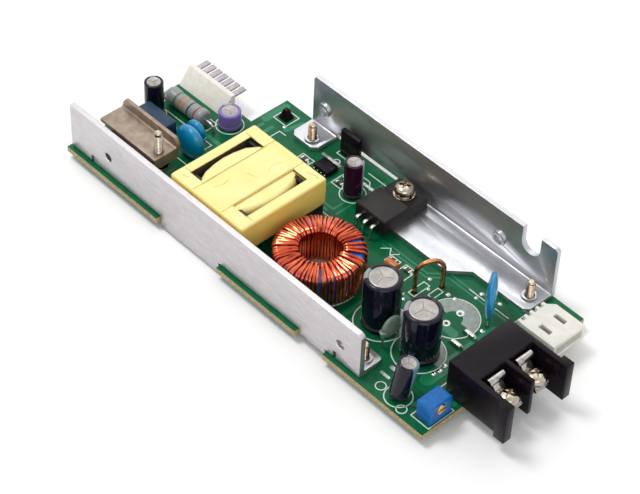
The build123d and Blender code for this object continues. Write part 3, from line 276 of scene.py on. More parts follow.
def banded_lacquer():
    """Grey cement lacquer with five bands of colour round it, set along X."""
    grey = (0.24, 0.27, 0.27)
    start, end = at(3.7, 0).x, at(17.5, 0).x
    band = 0.04
    bands = [
        (0.25, (0.06, 0.12, 0.06)),
        (0.38, (0.45, 0.16, 0.04)),
        (0.5, (0.45, 0.16, 0.04)),
        (0.62, (0.02, 0.012, 0.01)),
        (0.8, (0.3, 0.02, 0.02)),
    ]
    stops = [(0.0, grey)]
    for place, colour in bands:
        stops += [(place, colour), (place + band, grey)]
    material = lacquer(new_material("banded_lacquer", grey, 0.35, 0.0, 0.4), 0.3, 0.15)
    run = between(material, along(material, object_place(material), "X"), 0, 1, start, end)
    set_from(material, "Base Color", ramp(material, run, stops, True))
    emboss(material, grain(material, 700, 2), 3e-5)
    return material


def enamelled_copper():
    """Copper wire under orange-red enamel."""
    material = lacquer(new_material("copper_wire", (0.85, 0.2, 0.06), 0.15, 0.9), 0.6, 0.03)
    reds = [(0.35, (0.42, 0.045, 0.012)), (0.65, (0.72, 0.15, 0.05))]
    set_from(material, "Base Color", ramp(material, grain(material, 320, 3), reds))
    return material


def dipped_blue():
    """Thick glossy blue epoxy with a slight orange-peel."""
    material = lacquer(new_material("blue_dip", (0.004, 0.2, 0.5), 0.25, 0.0, 0.2), 0.6, 0.03)
    blues = [(0.3, (0.0, 0.19, 0.42)), (0.7, (0.001, 0.28, 0.54))]
    set_from(material, "Base Color", ramp(material, grain(material, 240, 2), blues))
    emboss(material, grain(material, 500, 2), 3e-5)
    return material


finishes = {
    "board_laminate": board_green(),
    "yellow_tape": yellow_tape(),
    "copper_wire": enamelled_copper(),
    "grey_lacquer": banded_lacquer(),
    "blue_dip": dipped_blue(),
}

# Name, colour, second colour, roughness, scale, metallic, depth and gloss
for row in (
    ("screw_steel", (0.34, 0.29, 0.22), (0.52, 0.47, 0.38), 0.13, 900, 1.0),
    ("zinc_gold", (0.42, 0.3, 0.22), (0.6, 0.47, 0.35), 0.2, 1500, 1.0),
    ("tinned_lead", (0.42, 0.42, 0.41), (0.58, 0.58, 0.56), 0.25, 1500, 1.0),
    ("dull_tin", (0.28, 0.25, 0.27), (0.38, 0.35, 0.37), 0.3, 900, 1.0),
    ("solder", (0.42, 0.43, 0.42), (0.6, 0.61, 0.59), 0.22, 1200, 1.0),
    ("bare_copper", (0.42, 0.16, 0.07), (0.56, 0.26, 0.13), 0.25, 600, 1.0),
    ("brass_rotor", (0.68, 0.45, 0.16), (0.78, 0.58, 0.26), 0.25, 1500, 1.0),
    ("terminal_plate", (0.3, 0.28, 0.27), (0.5, 0.47, 0.45), 0.13, 700, 1.0),
    ("capacitor_can", (0.26, 0.245, 0.23), (0.36, 0.34, 0.32), 0.36, 500, 1.0),
    # Painted shade: dark strips standing in for the shade in the can tops' score grooves
    ("painted_groove_shade", (0.1, 0.1, 0.1), (0.16, 0.16, 0.155), 0.5, 900, 0.6),
    ("heatsink_metal", (0.24, 0.18, 0.135), (0.33, 0.26, 0.2), 0.4, 500, 0.55, 1e-5),
    ("device_plastic", (0.012, 0.009, 0.009), (0.022, 0.017, 0.017), 0.4, 2500, 0.0, 1e-5, 0.25),
    ("ferrite", (0.02, 0.02, 0.022), (0.04, 0.04, 0.042), 0.5, 2500, 0.0, 1e-5, 0.3),
    ("bobbin_plastic", (0.008, 0.008, 0.008), (0.016, 0.015, 0.015), 0.4, 2000, 0.0, 0.0, 0.25),
    ("black_plastic", (0.005, 0.002, 0.004), (0.008, 0.005, 0.008), 0.25, 1500, 0.0, 1e-5, 0.12),
    ("seal_rubber", (0.012, 0.012, 0.012), (0.02, 0.02, 0.02), 0.7, 1500, 0.0, 1e-5, 0.2),
    ("pale_body", (0.03, 0.025, 0.025), (0.06, 0.05, 0.045), 0.4, 1500),
    ("slate_resin", (0.018, 0.04, 0.075), (0.028, 0.058, 0.1), 0.35, 500, 0.0, 1e-5, 0.2),
    ("blue_core", (0.005, 0.09, 0.42), (0.01, 0.13, 0.55), 0.3, 900, 0.0, 1e-5),
    ("trimmer_plastic", (0.002, 0.11, 0.38), (0.004, 0.15, 0.48), 0.3, 900, 0.0, 0.0, 0.25),
    ("cream_plastic", (0.6, 0.55, 0.4), (0.7, 0.65, 0.5), 0.45, 900),
    ("white_nylon", (0.76, 0.74, 0.66), (0.84, 0.82, 0.74), 0.4, 700, 0.0, 0.0, 0.4),
    ("green_dip", (0.14, 0.2, 0.15), (0.2, 0.28, 0.21), 0.35, 500),
    ("orange_bead", (0.5, 0.13, 0.015), (0.62, 0.19, 0.03), 0.35, 900),
    # Painted shade: dark lines standing in for the shade where the tape laps and creases
    ("painted_tape_shade", (0.3, 0.17, 0.02), (0.5, 0.33, 0.06), 0.5, 700),
    ("trace_green", (0.002, 0.17, 0.07), (0.004, 0.21, 0.09), 0.3, 400, 0.0, 0.0, 0.4),
    ("dark_trace", (0.0, 0.06, 0.022), (0.001, 0.075, 0.03), 0.3, 400, 0.0, 0.0, 0.3),
    ("board_print", (0.66, 0.7, 0.64), (0.76, 0.8, 0.74), 0.6, 2500),
    ("bare_grey", (0.26, 0.3, 0.28), (0.36, 0.4, 0.37), 0.5, 900),
):
    finishes[row[0]] = mottled(*row)

# The brackets' sheet: name, darker and lighter colour, and roughness
for row in (
    ("bracket_aluminium", (0.48, 0.46, 0.475), (0.66, 0.63, 0.64), 0.3),
    # The rear bracket's copy of the same aluminium, a little darker, cooler and glossier: painted
    # light and shade, not a different metal
    ("rear_aluminium_painted_light", (0.45, 0.455, 0.475), (0.6, 0.605, 0.63), 0.27),
):
    finishes[row[0]] = brushed_aluminium(*row)

# The capacitors' sleeves: name, colour, band colour (the marking and a painted reflection), place,
# and the band's heading and width
# The dark sleeves' pale band colour is partly a painted reflection.
dark, pale = (0.004, 0.004, 0.014), (0.3, 0.31, 0.34)
for row in (
    ("dark_sleeve_a", dark, pale, OUTPUT_CAPACITOR_A, 210),
    ("dark_sleeve_b", dark, pale, OUTPUT_CAPACITOR_B, 210),
    ("leaning_sleeve", dark, (0.14, 0.22, 0.28), (115.5, 4.5), 55, 0.3),
    ("navy_sleeve", (0.004, 0.004, 0.012), (0.3, 0.32, 0.36), INPUT_CAPACITOR, 150),
    ("violet_sleeve", (0.24, 0.16, 0.5), (0.4, 0.38, 0.52), LOW_CAPACITOR, 150),
    ("maroon_sleeve", (0.03, 0.004, 0.02), (0.3, 0.32, 0.38), CONTROL_CAPACITOR, 35),
):
    finishes[row[0]] = striped_sleeve(*row)


def paint_nodes():
    """Every CAD node takes the finish of its slot in the record."""
    for node, slot in slots.items():
        materials = nodes[node].data.materials
        materials.clear()
        materials.append(finishes[slot])


paint_nodes()


# Modelling building blocks: each gives a mesh in millimetres at its own origin


def picked(parts, kind):
    """The corners, or the edges, among some parts of a mesh."""
    return [part for part in parts if isinstance(part, kind)]


def turned(profile, steps):
    """A profile of (radius, height) points turned about Z."""
    mesh = bmesh.new()
    line = [mesh.verts.new((radius, 0, height)) for radius, height in profile]
    line += [mesh.edges.new(pair) for pair in zip(line, line[1:])]
    bmesh.ops.spin(mesh, geom=line, axis=(0, 0, 1), angle=tau, steps=steps, use_merge=True)
    bmesh.ops.remove_doubles(mesh, verts=mesh.verts, dist=0.0001)
    return mesh


def rounded(mesh, edges, size, segments=2, clamp=False):
    """Bevels edges round."""
    bmesh.ops.bevel(
        mesh,
        geom=edges,
        offset=size,
        affect="EDGES",
        segments=segments,
        profile=0.5,
        material=-1,
        clamp_overlap=clamp,
    )


def block(length, width, height, corner, segments=2):
    """A block that stands on its origin, with every edge rounded."""
    mesh = bmesh.new()
    place = Matrix.Translation((0, 0, height / 2)) @ Matrix.Diagonal((length, width, height, 1))
    bmesh.ops.create_cube(mesh, size=1, matrix=place)
    rounded(mesh, mesh.edges, corner, segments)
    return mesh


def bent_wire(points, radius, bend, sides, closed=False):
    """A round wire that runs straight between its points and curves at each one between."""
    mesh = bmesh.new()
    points = [Vector(point) for point in points]
    heading = (points[1] - points[0]).normalized()
    place = Matrix.Translation(points[0]) @ heading.to_track_quat("Z", "Y").to_matrix().to_4x4()
    bmesh.ops.create_circle(mesh, segments=sides, radius=radius, matrix=place)
    rim = mesh.edges[:]
    here = points[0]
    for corner, following in zip(points[1:-1], points[2:]):
        onward = (following - corner).normalized()
        angle = heading.angle(onward)
        start = corner - heading * bend * tan(angle / 2)
        rim = pushed(mesh, rim, start - here)
        axis = heading.cross(onward).normalized()
        spun = bmesh.ops.spin(
            mesh,
            geom=list({corner for edge in rim for corner in edge.verts}) + rim,
            cent=start + axis.cross(heading) * bend,
            axis=axis,
            angle=angle,
            steps=4,
        )
        rim = picked(spun["geom_last"], BMEdge)
        here = corner + onward * bend * tan(angle / 2)
        heading = onward
    pushed(mesh, rim, points[-1] - here)
    bmesh.ops.remove_doubles(mesh, verts=mesh.verts, dist=0.001)
    if not closed:
        bmesh.ops.holes_fill(mesh, edges=mesh.edges, sides=sides)
    return mesh


def pushed(mesh, rim, move):
    """Draws a rim of edges out by a move and gives the new rim."""
    made = bmesh.ops.extrude_edge_only(mesh, edges=rim)["geom"]
    bmesh.ops.translate(mesh, vec=move, verts=picked(made, BMVert))
    return [edge for edge in picked(made, BMEdge) if len(edge.link_faces) == 1]


def sunk(mesh, chosen, depth, draft):
    """Sinks the chosen faces into a mesh, their floor drawn in by a share."""
    made = bmesh.ops.extrude_face_region(mesh, geom=chosen)["geom"]
    bmesh.ops.delete(mesh, geom=chosen, context="FACES")
    floor = picked(made, BMVert)
    bmesh.ops.scale(mesh, vec=(draft, draft, 1), verts=floor)
    bmesh.ops.translate(mesh, vec=(0, 0, -depth), verts=floor)


def cut_along(mesh, place, normal, level):
    """Divides the faces above a level along a plane."""
    faces = [face for face in mesh.faces if face.calc_center_median().z > level]
    edges = {edge for face in faces for edge in face.edges}
    corners = {corner for face in faces for corner in face.verts}
    chosen = faces + list(edges) + list(corners)
    bmesh.ops.bisect_plane(mesh, geom=chosen, plane_co=place, plane_no=normal, dist=0.0001)


def cross_recess(mesh, width, length, depth, level):
    """Sinks a cross into the top of a head."""
    for axis in (Vector((1, 0, 0)), Vector((0, 1, 0))):
        for reach in (width / 2, length / 2):
            for side in (-1, 1):
                cut_along(mesh, axis * side * reach, axis, level)
    chosen = []
    for face in mesh.faces:
        centre = face.calc_center_median()
        short, long = sorted((abs(centre.x), abs(centre.y)))
        if centre.z > level and short < width / 2 and long < length / 2:
            chosen.append(face)
    sunk(mesh, chosen, depth, 0.75)


def thread(mesh, radius, length):
    """A threaded shank from the origin down, its end drawn in."""
    pitch, depth, steps = 0.5, 0.17, 14
    count = int(length / pitch) - 1
    profile = []
    for tooth in range(count):
        profile += [(radius, -tooth * pitch), (radius - depth, -(tooth + 0.5) * pitch)]
    corners = [mesh.verts.new((across, 0, height)) for across, height in profile]
    edges = [mesh.edges.new(pair) for pair in zip(corners, corners[1:])]
    fall = (0, 0, -pitch / steps)
    bmesh.ops.spin(mesh, geom=corners + edges, axis=(0, 0, 1), angle=tau, steps=steps, dvec=fall)
    tip = -length
    core = radius - depth
    end = [(0, tip), (radius * 0.6, tip), (core, tip + 0.35), (core, tip + 2.2 * pitch)]
    joined(mesh, turned(end, steps))
    bmesh.ops.remove_doubles(mesh, verts=mesh.verts, dist=0.002)


def pan_screw(length):
    """A pan-head screw with a cross recess: its head stands on the origin, its shank goes down."""
    dome = [(0, 2.0), (0.7, 1.99), (1.4, 1.9), (2.0, 1.66), (2.4, 1.25)]
    rim = [(2.58, 0.8), (2.6, 0.2), (2.5, 0.02), (1.1, 0)]
    mesh = turned(dome + rim, 28)
    cross_recess(mesh, 0.75, 2.9, 0.85, 1.75)
    thread(mesh, 1.15, length)
    return mesh


def joined(mesh, part, place=None):
    """Adds a part to a mesh, moved by a matrix."""
    if place is not None:
        bmesh.ops.transform(part, matrix=place, verts=part.verts)
    data = bpy.data.meshes.new("part")
    part.to_mesh(data)
    part.free()
    mesh.from_mesh(data)
    bpy.data.meshes.remove(data)


def set_down(mesh, part, x, y, z=0.0, turn=None):
    """Adds a part modelled in millimetres to a mesh at a place on the board, first turned."""
    place = Matrix.Translation(at(x, y, z)) @ (turn or Matrix()) @ Matrix.Scale(MM, 4)
    joined(mesh, part, place)


def in_scene(name, data):
    """An object with some data, linked to the scene."""
    made = bpy.data.objects.new(name, data)
    bpy.context.scene.collection.objects.link(made)
    return made


def add_piece(name, mesh, finish, replaced=(), body="unit", crease=38, faces_out=True):
    """Makes a mesh one piece of the unit, with smooth faces and sharp creases."""
    if faces_out:
        bmesh.ops.recalc_face_normals(mesh, faces=mesh.faces)
    data = bpy.data.meshes.new(name)
    mesh.to_mesh(data)
    mesh.free()
    data.materials.append(finishes[finish])
    data.shade_smooth()
    data.set_sharp_from_angle(angle=radians(crease))
    piece = in_scene(name, data)
    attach(piece, body)
    if replaced:
        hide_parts(*replaced)
    return piece


def softened(node, edge, body="unit", finish=None):
    """The node's own shape with its sharp edges broken."""
    mesh = bmesh.new()
    mesh.from_mesh(nodes[node].data)
    bmesh.ops.remove_doubles(mesh, verts=mesh.verts, dist=1e-6)
    bmesh.ops.dissolve_limit(mesh, angle_limit=radians(1), verts=mesh.verts, edges=mesh.edges)
    inner = [line for line in mesh.edges if line.is_manifold]
    sharp = [line for line in inner if line.calc_face_angle(0) > radians(40)]
    rounded(mesh, sharp, edge * MM, clamp=True)
    slot = slots[node]
    add_piece(node + "_finished", mesh, finish or slot, (node,), body, 30)


UPSIDE_DOWN = Matrix.Rotation(pi, 4, "X")


# Screws


def place_screws():
    """Threaded screws, each with its place, the length of its shank and its turn."""
    below = [
        (x, y, -BOARD, 8.4, UPSIDE_DOWN @ Matrix.Rotation(x, 4, "Z"))
        for x, y in ((3.4, 5.3), (102.8, 5.3), (40.0, 47.4), (114.4, 48.4))
    ]
    terminals = [
        (135.45, y, 6.0, 4.4, Matrix.Rotation(turn, 4, "Z"))
        for y, turn in zip(TERMINAL_ROWS, (0.35, 0.9))
    ]
    for node, finish, screws in (
        ("bracket_screws", "zinc_gold", below),
        ("device_screw", "screw_steel", [(72.05, 48.3, 5.9, 8.4, Matrix.Rotation(0.5, 4, "Z"))]),
        ("heatsink_screw", "screw_steel", [(25.3, 9.1, 6.2, 10.4, UPSIDE_DOWN)]),
        ("terminal_screws", "screw_steel", terminals),
    ):
        mesh = bmesh.new()
        for x, y, z, length, turn in screws:
            set_down(mesh, pan_screw(length), x, y, z, turn)
        add_piece(node + "_threaded", mesh, finish, (node,))


# Toroid choke


def winding_turn(inner, rise):
    """One turn of round wire in the XZ plane, raised at its inner end."""
    half, bend = 0.385, 1.0
    outer = 11.45 - half
    top, bottom = 10.98 - half, 1.42 + half
    middle = (top + bottom) / 2
    route = [
        (outer, 0, middle),
        (outer, 0, top),
        (inner, 0, top + rise),
        (inner, 0, bottom - rise),
        (outer, 0, bottom),
        (outer, 0, middle),
    ]
    return bent_wire(route, half, bend, 8, closed=True)


def wind_toroid():
    """Enamelled turns in pairs, whose inner legs nest in two layers, and three loose ones."""
    uneven = random.Random(5)
    mesh = bmesh.new()
    pairs, covered, gap = 34, 322, 47
    near, far, step = 5.65, 5.2, 8.5
    pitch = covered / pairs
    start = gap + 180 - covered / 2
    turns = []
    for pair in range(pairs):
        turns.append((start + pitch * (pair + 0.25), near, 0.0))
        turns.append((start + pitch * (pair + 0.75), far, 0.55))
    turns += [(gap - step, near, 0.0), (gap, near, 0.0), (gap + step, near, 0.0)]
    for heading, inner, rise in turns:
        heading += uneven.uniform(-0.45, 0.45)
        lean = Matrix.Rotation(radians(uneven.uniform(-1.2, 1.2)), 4, "X")
        part = winding_turn(inner + uneven.uniform(-0.06, 0.06), rise)
        set_down(mesh, part, *TOROID, turn=Matrix.Rotation(radians(heading), 4, "Z") @ lean)
    add_piece("toroid_turns", mesh, "copper_wire", ("toroid_winding",))
    mesh = bmesh.new()
    rim = [(0, 0), (9.9, 0), (10.2, 0.25), (9.9, 0.7), (9.0, 1.0)]
    dish = [(5.2, 1.0), (4.4, 0.6), (0, 0.5)]
    glue = turned(rim + dish, 48)
    for corner in glue.verts:
        corner.co.x *= 1 + 0.02 * sin(5 * corner.co.y)
    set_down(mesh, glue, *TOROID)
    add_piece("toroid_glue", mesh, "cream_plastic", ("toroid_base",))


# Electrolytic capacitors


def sleeve_shape(diameter, height):
    """A shrunk sleeve: a rolled groove near its foot, a round shoulder and a lip over the can."""
    radius = diameter / 2
    groove = 0.045 * diameter
    shoulder = 0.085 * diameter
    profile = [(radius * 0.8, 0), (radius - 0.3, 0), (radius - 0.04, 0.35), (radius, 0.8)]
    for step in range(5):
        share = step / 4
        profile.append((radius - groove * sin(pi * share), 0.8 + diameter * (0.05 + 0.07 * share)))
    for step in range(7):
        angle = pi / 2 * step / 6
        profile.append((radius - shoulder * (1 - cos(angle)), height - shoulder * (1 - sin(angle))))
    for share, drop in ((0.77, 0.02), (0.745, 0.12), (0.74, 0.3)):
        profile.append((radius * share, height - drop))
    return turned(profile, 56)


def can_top(radius):
    """The can's pressed top, with a raised ring at its rim."""
    ring = [(0, 0), (0.84, 0), (0.9, 0.06), (0.96, 0.06), (1, -0.02), (1, -0.4)]
    return turned([(radius * share, height) for share, height in ring], 48)


def scored_rays(radius, heading):
    """The three score lines of a can's top, as thin raised strips whose dark finish is the grooves'
    painted shade.
    """
    mesh = bmesh.new()
    for ray in (heading, heading + 120, heading + 240):
        line = stadium((radius * 0.06, 0), (radius * 0.78, 0), 0.16, 0.012)
        joined(mesh, line, Matrix.Rotation(radians(ray), 4, "Z"))
    return mesh


def stand_capacitor(name, place, diameter, height, sleeve, slot, heading=90, z=0.0, turn=None):
    """A capacitor's sleeve and can in place of the plain ones, and the can's score lines drawn as
    painted shade.
    """
    mesh = bmesh.new()
    set_down(mesh, sleeve_shape(diameter, height), *place, z, turn)
    add_piece(name + "_shrunk_sleeve", mesh, sleeve, (name + "_sleeve",), crease=60)
    radius, level = diameter * 0.372, height - 0.2
    for part, ending, finish, replaced in (
        (can_top(radius), "_pressed_can", "capacitor_can", (name + "_can",)),
        # The score lines are raised strips whose dark finish is painted groove shade.
        (scored_rays(radius, heading), "_groove_shade_lines", "painted_groove_shade", ()),
    ):
        bmesh.ops.translate(part, vec=(0, 0, level), verts=part.verts)
        mesh = bmesh.new()
        set_down(mesh, part, *place, z, turn)
        add_piece(name + ending, mesh, finish, replaced)


def stand_capacitors():
    """Two tall output capacitors and four small ones, of which the last leans."""
    lean = Matrix.Rotation(radians(45), 4, "Z") @ Matrix.Rotation(radians(9), 4, "Y")
    for row in (
        ("output_capacitor_a", OUTPUT_CAPACITOR_A, 9.3, 15.2, "dark_sleeve_a", "navy_sleeve", 40),
        ("output_capacitor_b", OUTPUT_CAPACITOR_B, 9.3, 14.8, "dark_sleeve_b", "navy_sleeve", 20),
        ("input_capacitor", INPUT_CAPACITOR, 5.0, 10.9, "navy_sleeve", "navy_sleeve"),
        ("control_capacitor", CONTROL_CAPACITOR, 5.0, 11.0, "maroon_sleeve", "maroon_sleeve"),
        ("low_capacitor", LOW_CAPACITOR, 6.0, 5.0, "violet_sleeve", "violet_sleeve"),
    ):
        stand_capacitor(*row)
    finish, slot = "leaning_sleeve", "navy_sleeve"
    stand_capacitor("leaning_capacitor", LEANING_CAPACITOR, 5.0, 10.9, finish, slot, 90, 0.8, lean)


# Transformer


def wrap_tape():
    """Tape round the core, open at its foot and over the two windows."""
    tape = block(26.2, 27.4, 8.5, 0.7, 4)
    band, window, reach_back = 5.3, 10.2, 9.8
    level = 8.4
    across, along_back = Vector((1, 0, 0)), Vector((0, 1, 0))
    for axis, reach in ((across, band), (across, window), (along_back, reach_back)):
        for side in (-1, 1):
            cut_along(tape, axis * side * reach, axis, level)
    holes = []
    for face in tape.faces:
        x, y, z = face.calc_center_median()
        over_window = z > level and band < abs(x) < window and abs(y) < reach_back
        if over_window or z < 0.01:
            holes.append(face)
    bmesh.ops.delete(tape, geom=holes, context="FACES")
    bmesh.ops.recalc_face_normals(tape, faces=tape.faces)
    mesh = bmesh.new()
    set_down(mesh, tape, *TRANSFORMER, 5.4)
    finish, replaced = "yellow_tape", ("transformer_tape",)
    piece = add_piece("transformer_tape_wrap", mesh, finish, replaced, faces_out=False)
    shell = piece.modifiers.new("tape_layers", "SOLIDIFY")
    shell.thickness = 0.28 * MM
    shell.offset = -1


def lap_tape():
    """The bands of tape that lap over the wrap, each slightly askew."""
    mesh = bmesh.new()
    set_down(mesh, block(10.2, 27.5, 8.4, 0.72, 4), *TRANSFORMER, 5.56)
    for x, lean in ((37.62, 0.004), (60.98, -0.004)):
        turn = Matrix.Rotation(lean, 4, "Z")
        set_down(mesh, block(2.8, 27.46, 8.4, 0.72, 4), x, TRANSFORMER[1], 5.53, turn)
    for y, lean in ((5.9, 0.001), (28.9, -0.00075)):
        turn = Matrix.Rotation(lean, 4, "Z")
        set_down(mesh, block(26.24, 3.6, 8.42, 0.72, 4), TRANSFORMER[0], y, 5.52, turn)
    add_piece("transformer_tape_bands", mesh, "yellow_tape")


def paint_tape_shade():
    """Painted shade: dark lines where the tape laps and creases, on its top and down its ends."""
    mesh = bmesh.new()
    for points, width in (
        ([(44.15, 4.2), (44.1, 12.0), (44.2, 21.0), (44.12, 30.4)], 0.14),
        ([(54.5, 4.2), (54.45, 15.0), (54.52, 30.4)], 0.12),
        ([(37.2, 7.75), (38.8, 7.8), (40.0, 7.7)], 0.1),
        ([(37.4, 27.1), (39.2, 27.05), (41.0, 27.2)], 0.1),
        ([(57.4, 7.7), (59.6, 7.75), (61.4, 7.6)], 0.1),
        ([(46.8, 8.2), (47.6, 10.8), (47.2, 12.6)], 0.08),
        ([(51.2, 22.0), (50.4, 24.4), (51.0, 26.6)], 0.08),
        ([(48.0, 17.4), (51.6, 18.6)], 0.07),
        ([(57.4, 28.6), (59.8, 29.4), (61.2, 29.2)], 0.09),
        ([(38.2, 5.2), (40.4, 6.2)], 0.09),
    ):
        draw_line(mesh, points, width, 0.02, 13.95)
    for y in (3.555, 31.045):
        for x in (44.15, 54.5):
            set_down(mesh, block(0.12, 0.03, 7.2, 0.01, 1), x, y, 6.1)
    add_piece("transformer_shaded_tape_lines", mesh, "painted_tape_shade")


def wind_transformer():
    """The taped coil that bulges in the core's windows."""
    half = [(9.6, 0), (9.3, 3.2), (8.6, 6.4), (7.5, 9.1), (7.0, 9.5), (0, 9.5)]
    mirrored = [(radius, -height) for radius, height in reversed(half[1:])]
    coil = turned(mirrored + half, 40)
    upright = Matrix.Rotation(pi / 2, 3, "X")
    bmesh.ops.rotate(coil, cent=(0, 0, 0), matrix=upright, verts=coil.verts)
    for corner in coil.verts:
        corner.co.x = max(-9.9, min(9.9, corner.co.x * 1.08))
        corner.co.z = 3.95 + max(-3.9, min(3.9, corner.co.z))
    mesh = bmesh.new()
    set_down(mesh, coil, *TRANSFORMER, 5.55)
    finish, replaced = "yellow_tape", ("transformer_winding",)
    add_piece("transformer_wound_coil", mesh, finish, replaced, crease=80)


# Discs and resistor


def dipped_disc(diameter, thickness):
    """A lens-shaped dip round a disc, with a drip down each lead; its axis lies along Y."""
    spread, drop = 5.0, 0.56
    radius, half = diameter / 2, thickness / 2
    profile = []
    for step in range(17):
        angle = pi * step / 16
        profile.append((radius * sin(angle) ** 0.8, half * cos(angle)))
    mesh = turned(profile, 48)
    upright = Matrix.Rotation(pi / 2, 3, "X")
    bmesh.ops.rotate(mesh, cent=(0, 0, 0), matrix=upright, verts=mesh.verts)
    for side in (-1, 1):
        drip = turned([(0, 0), (0.38, 0), (0.48, 0.3), (0.75, 1.1), (0.95, 2.0), (0, 2.4)], 16)
        reach = (radius**2 - (spread / 2) ** 2) ** 0.5
        joined(mesh, drip, Matrix.Translation((side * spread / 2, 0, -reach - drop)))
    return mesh


def stand_discs():
    """The dips of the disc capacitors and of the small disc between the output capacitors."""
    for name, x, y, z, diameter, thickness, turn, finish in (
        ("large_disc_capacitor", 23.4, 20.9, 5.1, 9.6, 4.2, 0, "blue_dip"),
        ("small_disc_capacitor", 20.0, 25.8, 3.5, 6.4, 3.0, 0, "blue_dip"),
        ("output_disc_capacitor", 112.2, 36.9, 8.1, 11.4, 2.6, -52, "blue_dip"),
        ("thermistor", 102.1, 14.3, 5.6, 6.0, 1.8, 90, "green_dip"),
    ):
        mesh = bmesh.new()
        turned_disc = Matrix.Rotation(radians(turn), 4, "Z")
        set_down(mesh, dipped_disc(diameter, thickness), x, y, z, turned_disc)
        add_piece(name + "_dip", mesh, finish, (name,), crease=70)


def lay_resistor():
    """A lacquered rod with swollen ends, laid along X."""
    length = 13.8
    end = [(0, 0), (1.5, 0.0), (2.1, 0.25), (2.38, 0.8)]
    end += [(2.4, 1.5), (2.33, 2.2), (2.2, 2.9), (2.15, 3.6)]
    mirrored = [(radius, length - height) for radius, height in reversed(end)]
    mesh = bmesh.new()
    rod = turned(end + mirrored, 40)
    set_down(mesh, rod, 3.7, 30.9, 2.7, Matrix.Rotation(pi / 2, 4, "Y"))
    finish, replaced = "grey_lacquer", ("power_resistor_body",)
    add_piece("power_resistor_rod", mesh, finish, replaced, crease=60)


# Print, copper and solder on the board


def stadium(start, end, width, height):
    """A flat strip with round ends from one place of the board to another, in millimetres."""
    start, end = Vector(start).to_2d(), Vector(end).to_2d()
    run = end - start
    mesh = bmesh.new()
    even = Matrix.Rotation(radians(15), 4, "Z")
    bmesh.ops.create_circle(mesh, cap_ends=True, segments=12, radius=width / 2, matrix=even)
    far = [corner for corner in mesh.verts if corner.co.x > 0]
    bmesh.ops.translate(mesh, vec=(run.length, 0, 0), verts=far)
    raised = bmesh.ops.extrude_face_region(mesh, geom=mesh.faces[:])["geom"]
    bmesh.ops.translate(mesh, vec=(0, 0, height), verts=picked(raised, BMVert))
    heading = Matrix.Rotation(-Vector((1, 0)).angle_signed(run), 3, "Z")
    bmesh.ops.rotate(mesh, cent=(0, 0, 0), matrix=heading, verts=mesh.verts)
    bmesh.ops.translate(mesh, vec=(start.x, start.y, 0), verts=mesh.verts)
    return mesh


def draw_line(mesh, points, width, height=0.03, z=0.0):
    """A line of strips through places of the board."""
    for number, (start, end) in enumerate(zip(points, points[1:])):
        set_down(mesh, stadium(start, end, width, height + 0.0015 * (number % 5)), 0, 0, z)


def print_board():
    """White outlines of the parts, without words."""
    mesh = bmesh.new()
    for x, y, radius in (
        (108.8, 17.1, 6.3), (95.8, 17.3, 6.3), (60.2, 42.4, 3.2), (20.8, 36.4, 3.5),
        (4.8, 24.7, 2.9), (106.5, 30.9, 6.3), (115.2, 4.2, 3.2), (110.3, 3.4, 1.1),
        (118.4, 2.0, 1.1), (49.0, 47.5, 0.7),
    ):
        outside = radius + 0.3
        ring = turned([(radius, 0), (radius, 0.03), (outside, 0.03), (outside, 0)], 64)
        set_down(mesh, ring, x, y)
    for left, front, right, back in (
        (25.9, 46.9, 30.7, 51.5), (121.0, 2.4, 126.6, 10.6), (2.6, 27.8, 18.6, 34.0),
        (5.9, 15.8, 17.9, 22.4), (18.0, 18.2, 28.8, 23.6), (16.3, 23.9, 23.7, 27.7),
        (93.5, 28.9, 95.4, 34.2), (97.2, 31.8, 98.9, 35.2), (41.6, 34.9, 45.6, 37.5),
        (41.2, 40.7, 45.2, 43.3), (53.6, 41.3, 57.2, 46.3), (82.0, 32.2, 85.2, 34.6),
        (86.6, 29.0, 90.0, 35.0), (117.0, 37.8, 120.0, 50.2), (46.6, 49.8, 54.0, 52.3),
        (119.6, 12.2, 121.4, 33.2),
    ):
        corners = [(left, front), (right, front), (right, back), (left, back), (left, front)]
        draw_line(mesh, corners, 0.28)
    for points in (
        [(32.0, 2.0), (33.6, 2.0), (33.6, 32.4), (64.6, 32.4), (64.6, 28.5)],
        [(66.0, 29.6), (69.4, 32.2), (71.4, 32.2)],
        [(78.6, 34.4), (80.2, 36.2), (81.6, 34.4), (83.0, 36.2)],
        [(55.4, 48.6), (60.0, 48.6), (62.0, 46.4)],
        [(57.5, 50.6), (63.6, 50.6)],
        [(88.8, 26.0), (93.0, 26.0), (93.0, 28.0)],
        [(102.4, 40.6), (118.4, 40.6), (118.4, 43.8)],
        [(115.4, 35.5), (117.8, 37.8)],
        [(31.0, 35.0), (31.0, 44.4), (33.2, 44.4)],
    ):
        draw_line(mesh, points, 0.28)
    add_piece("board_print", mesh, "board_print")


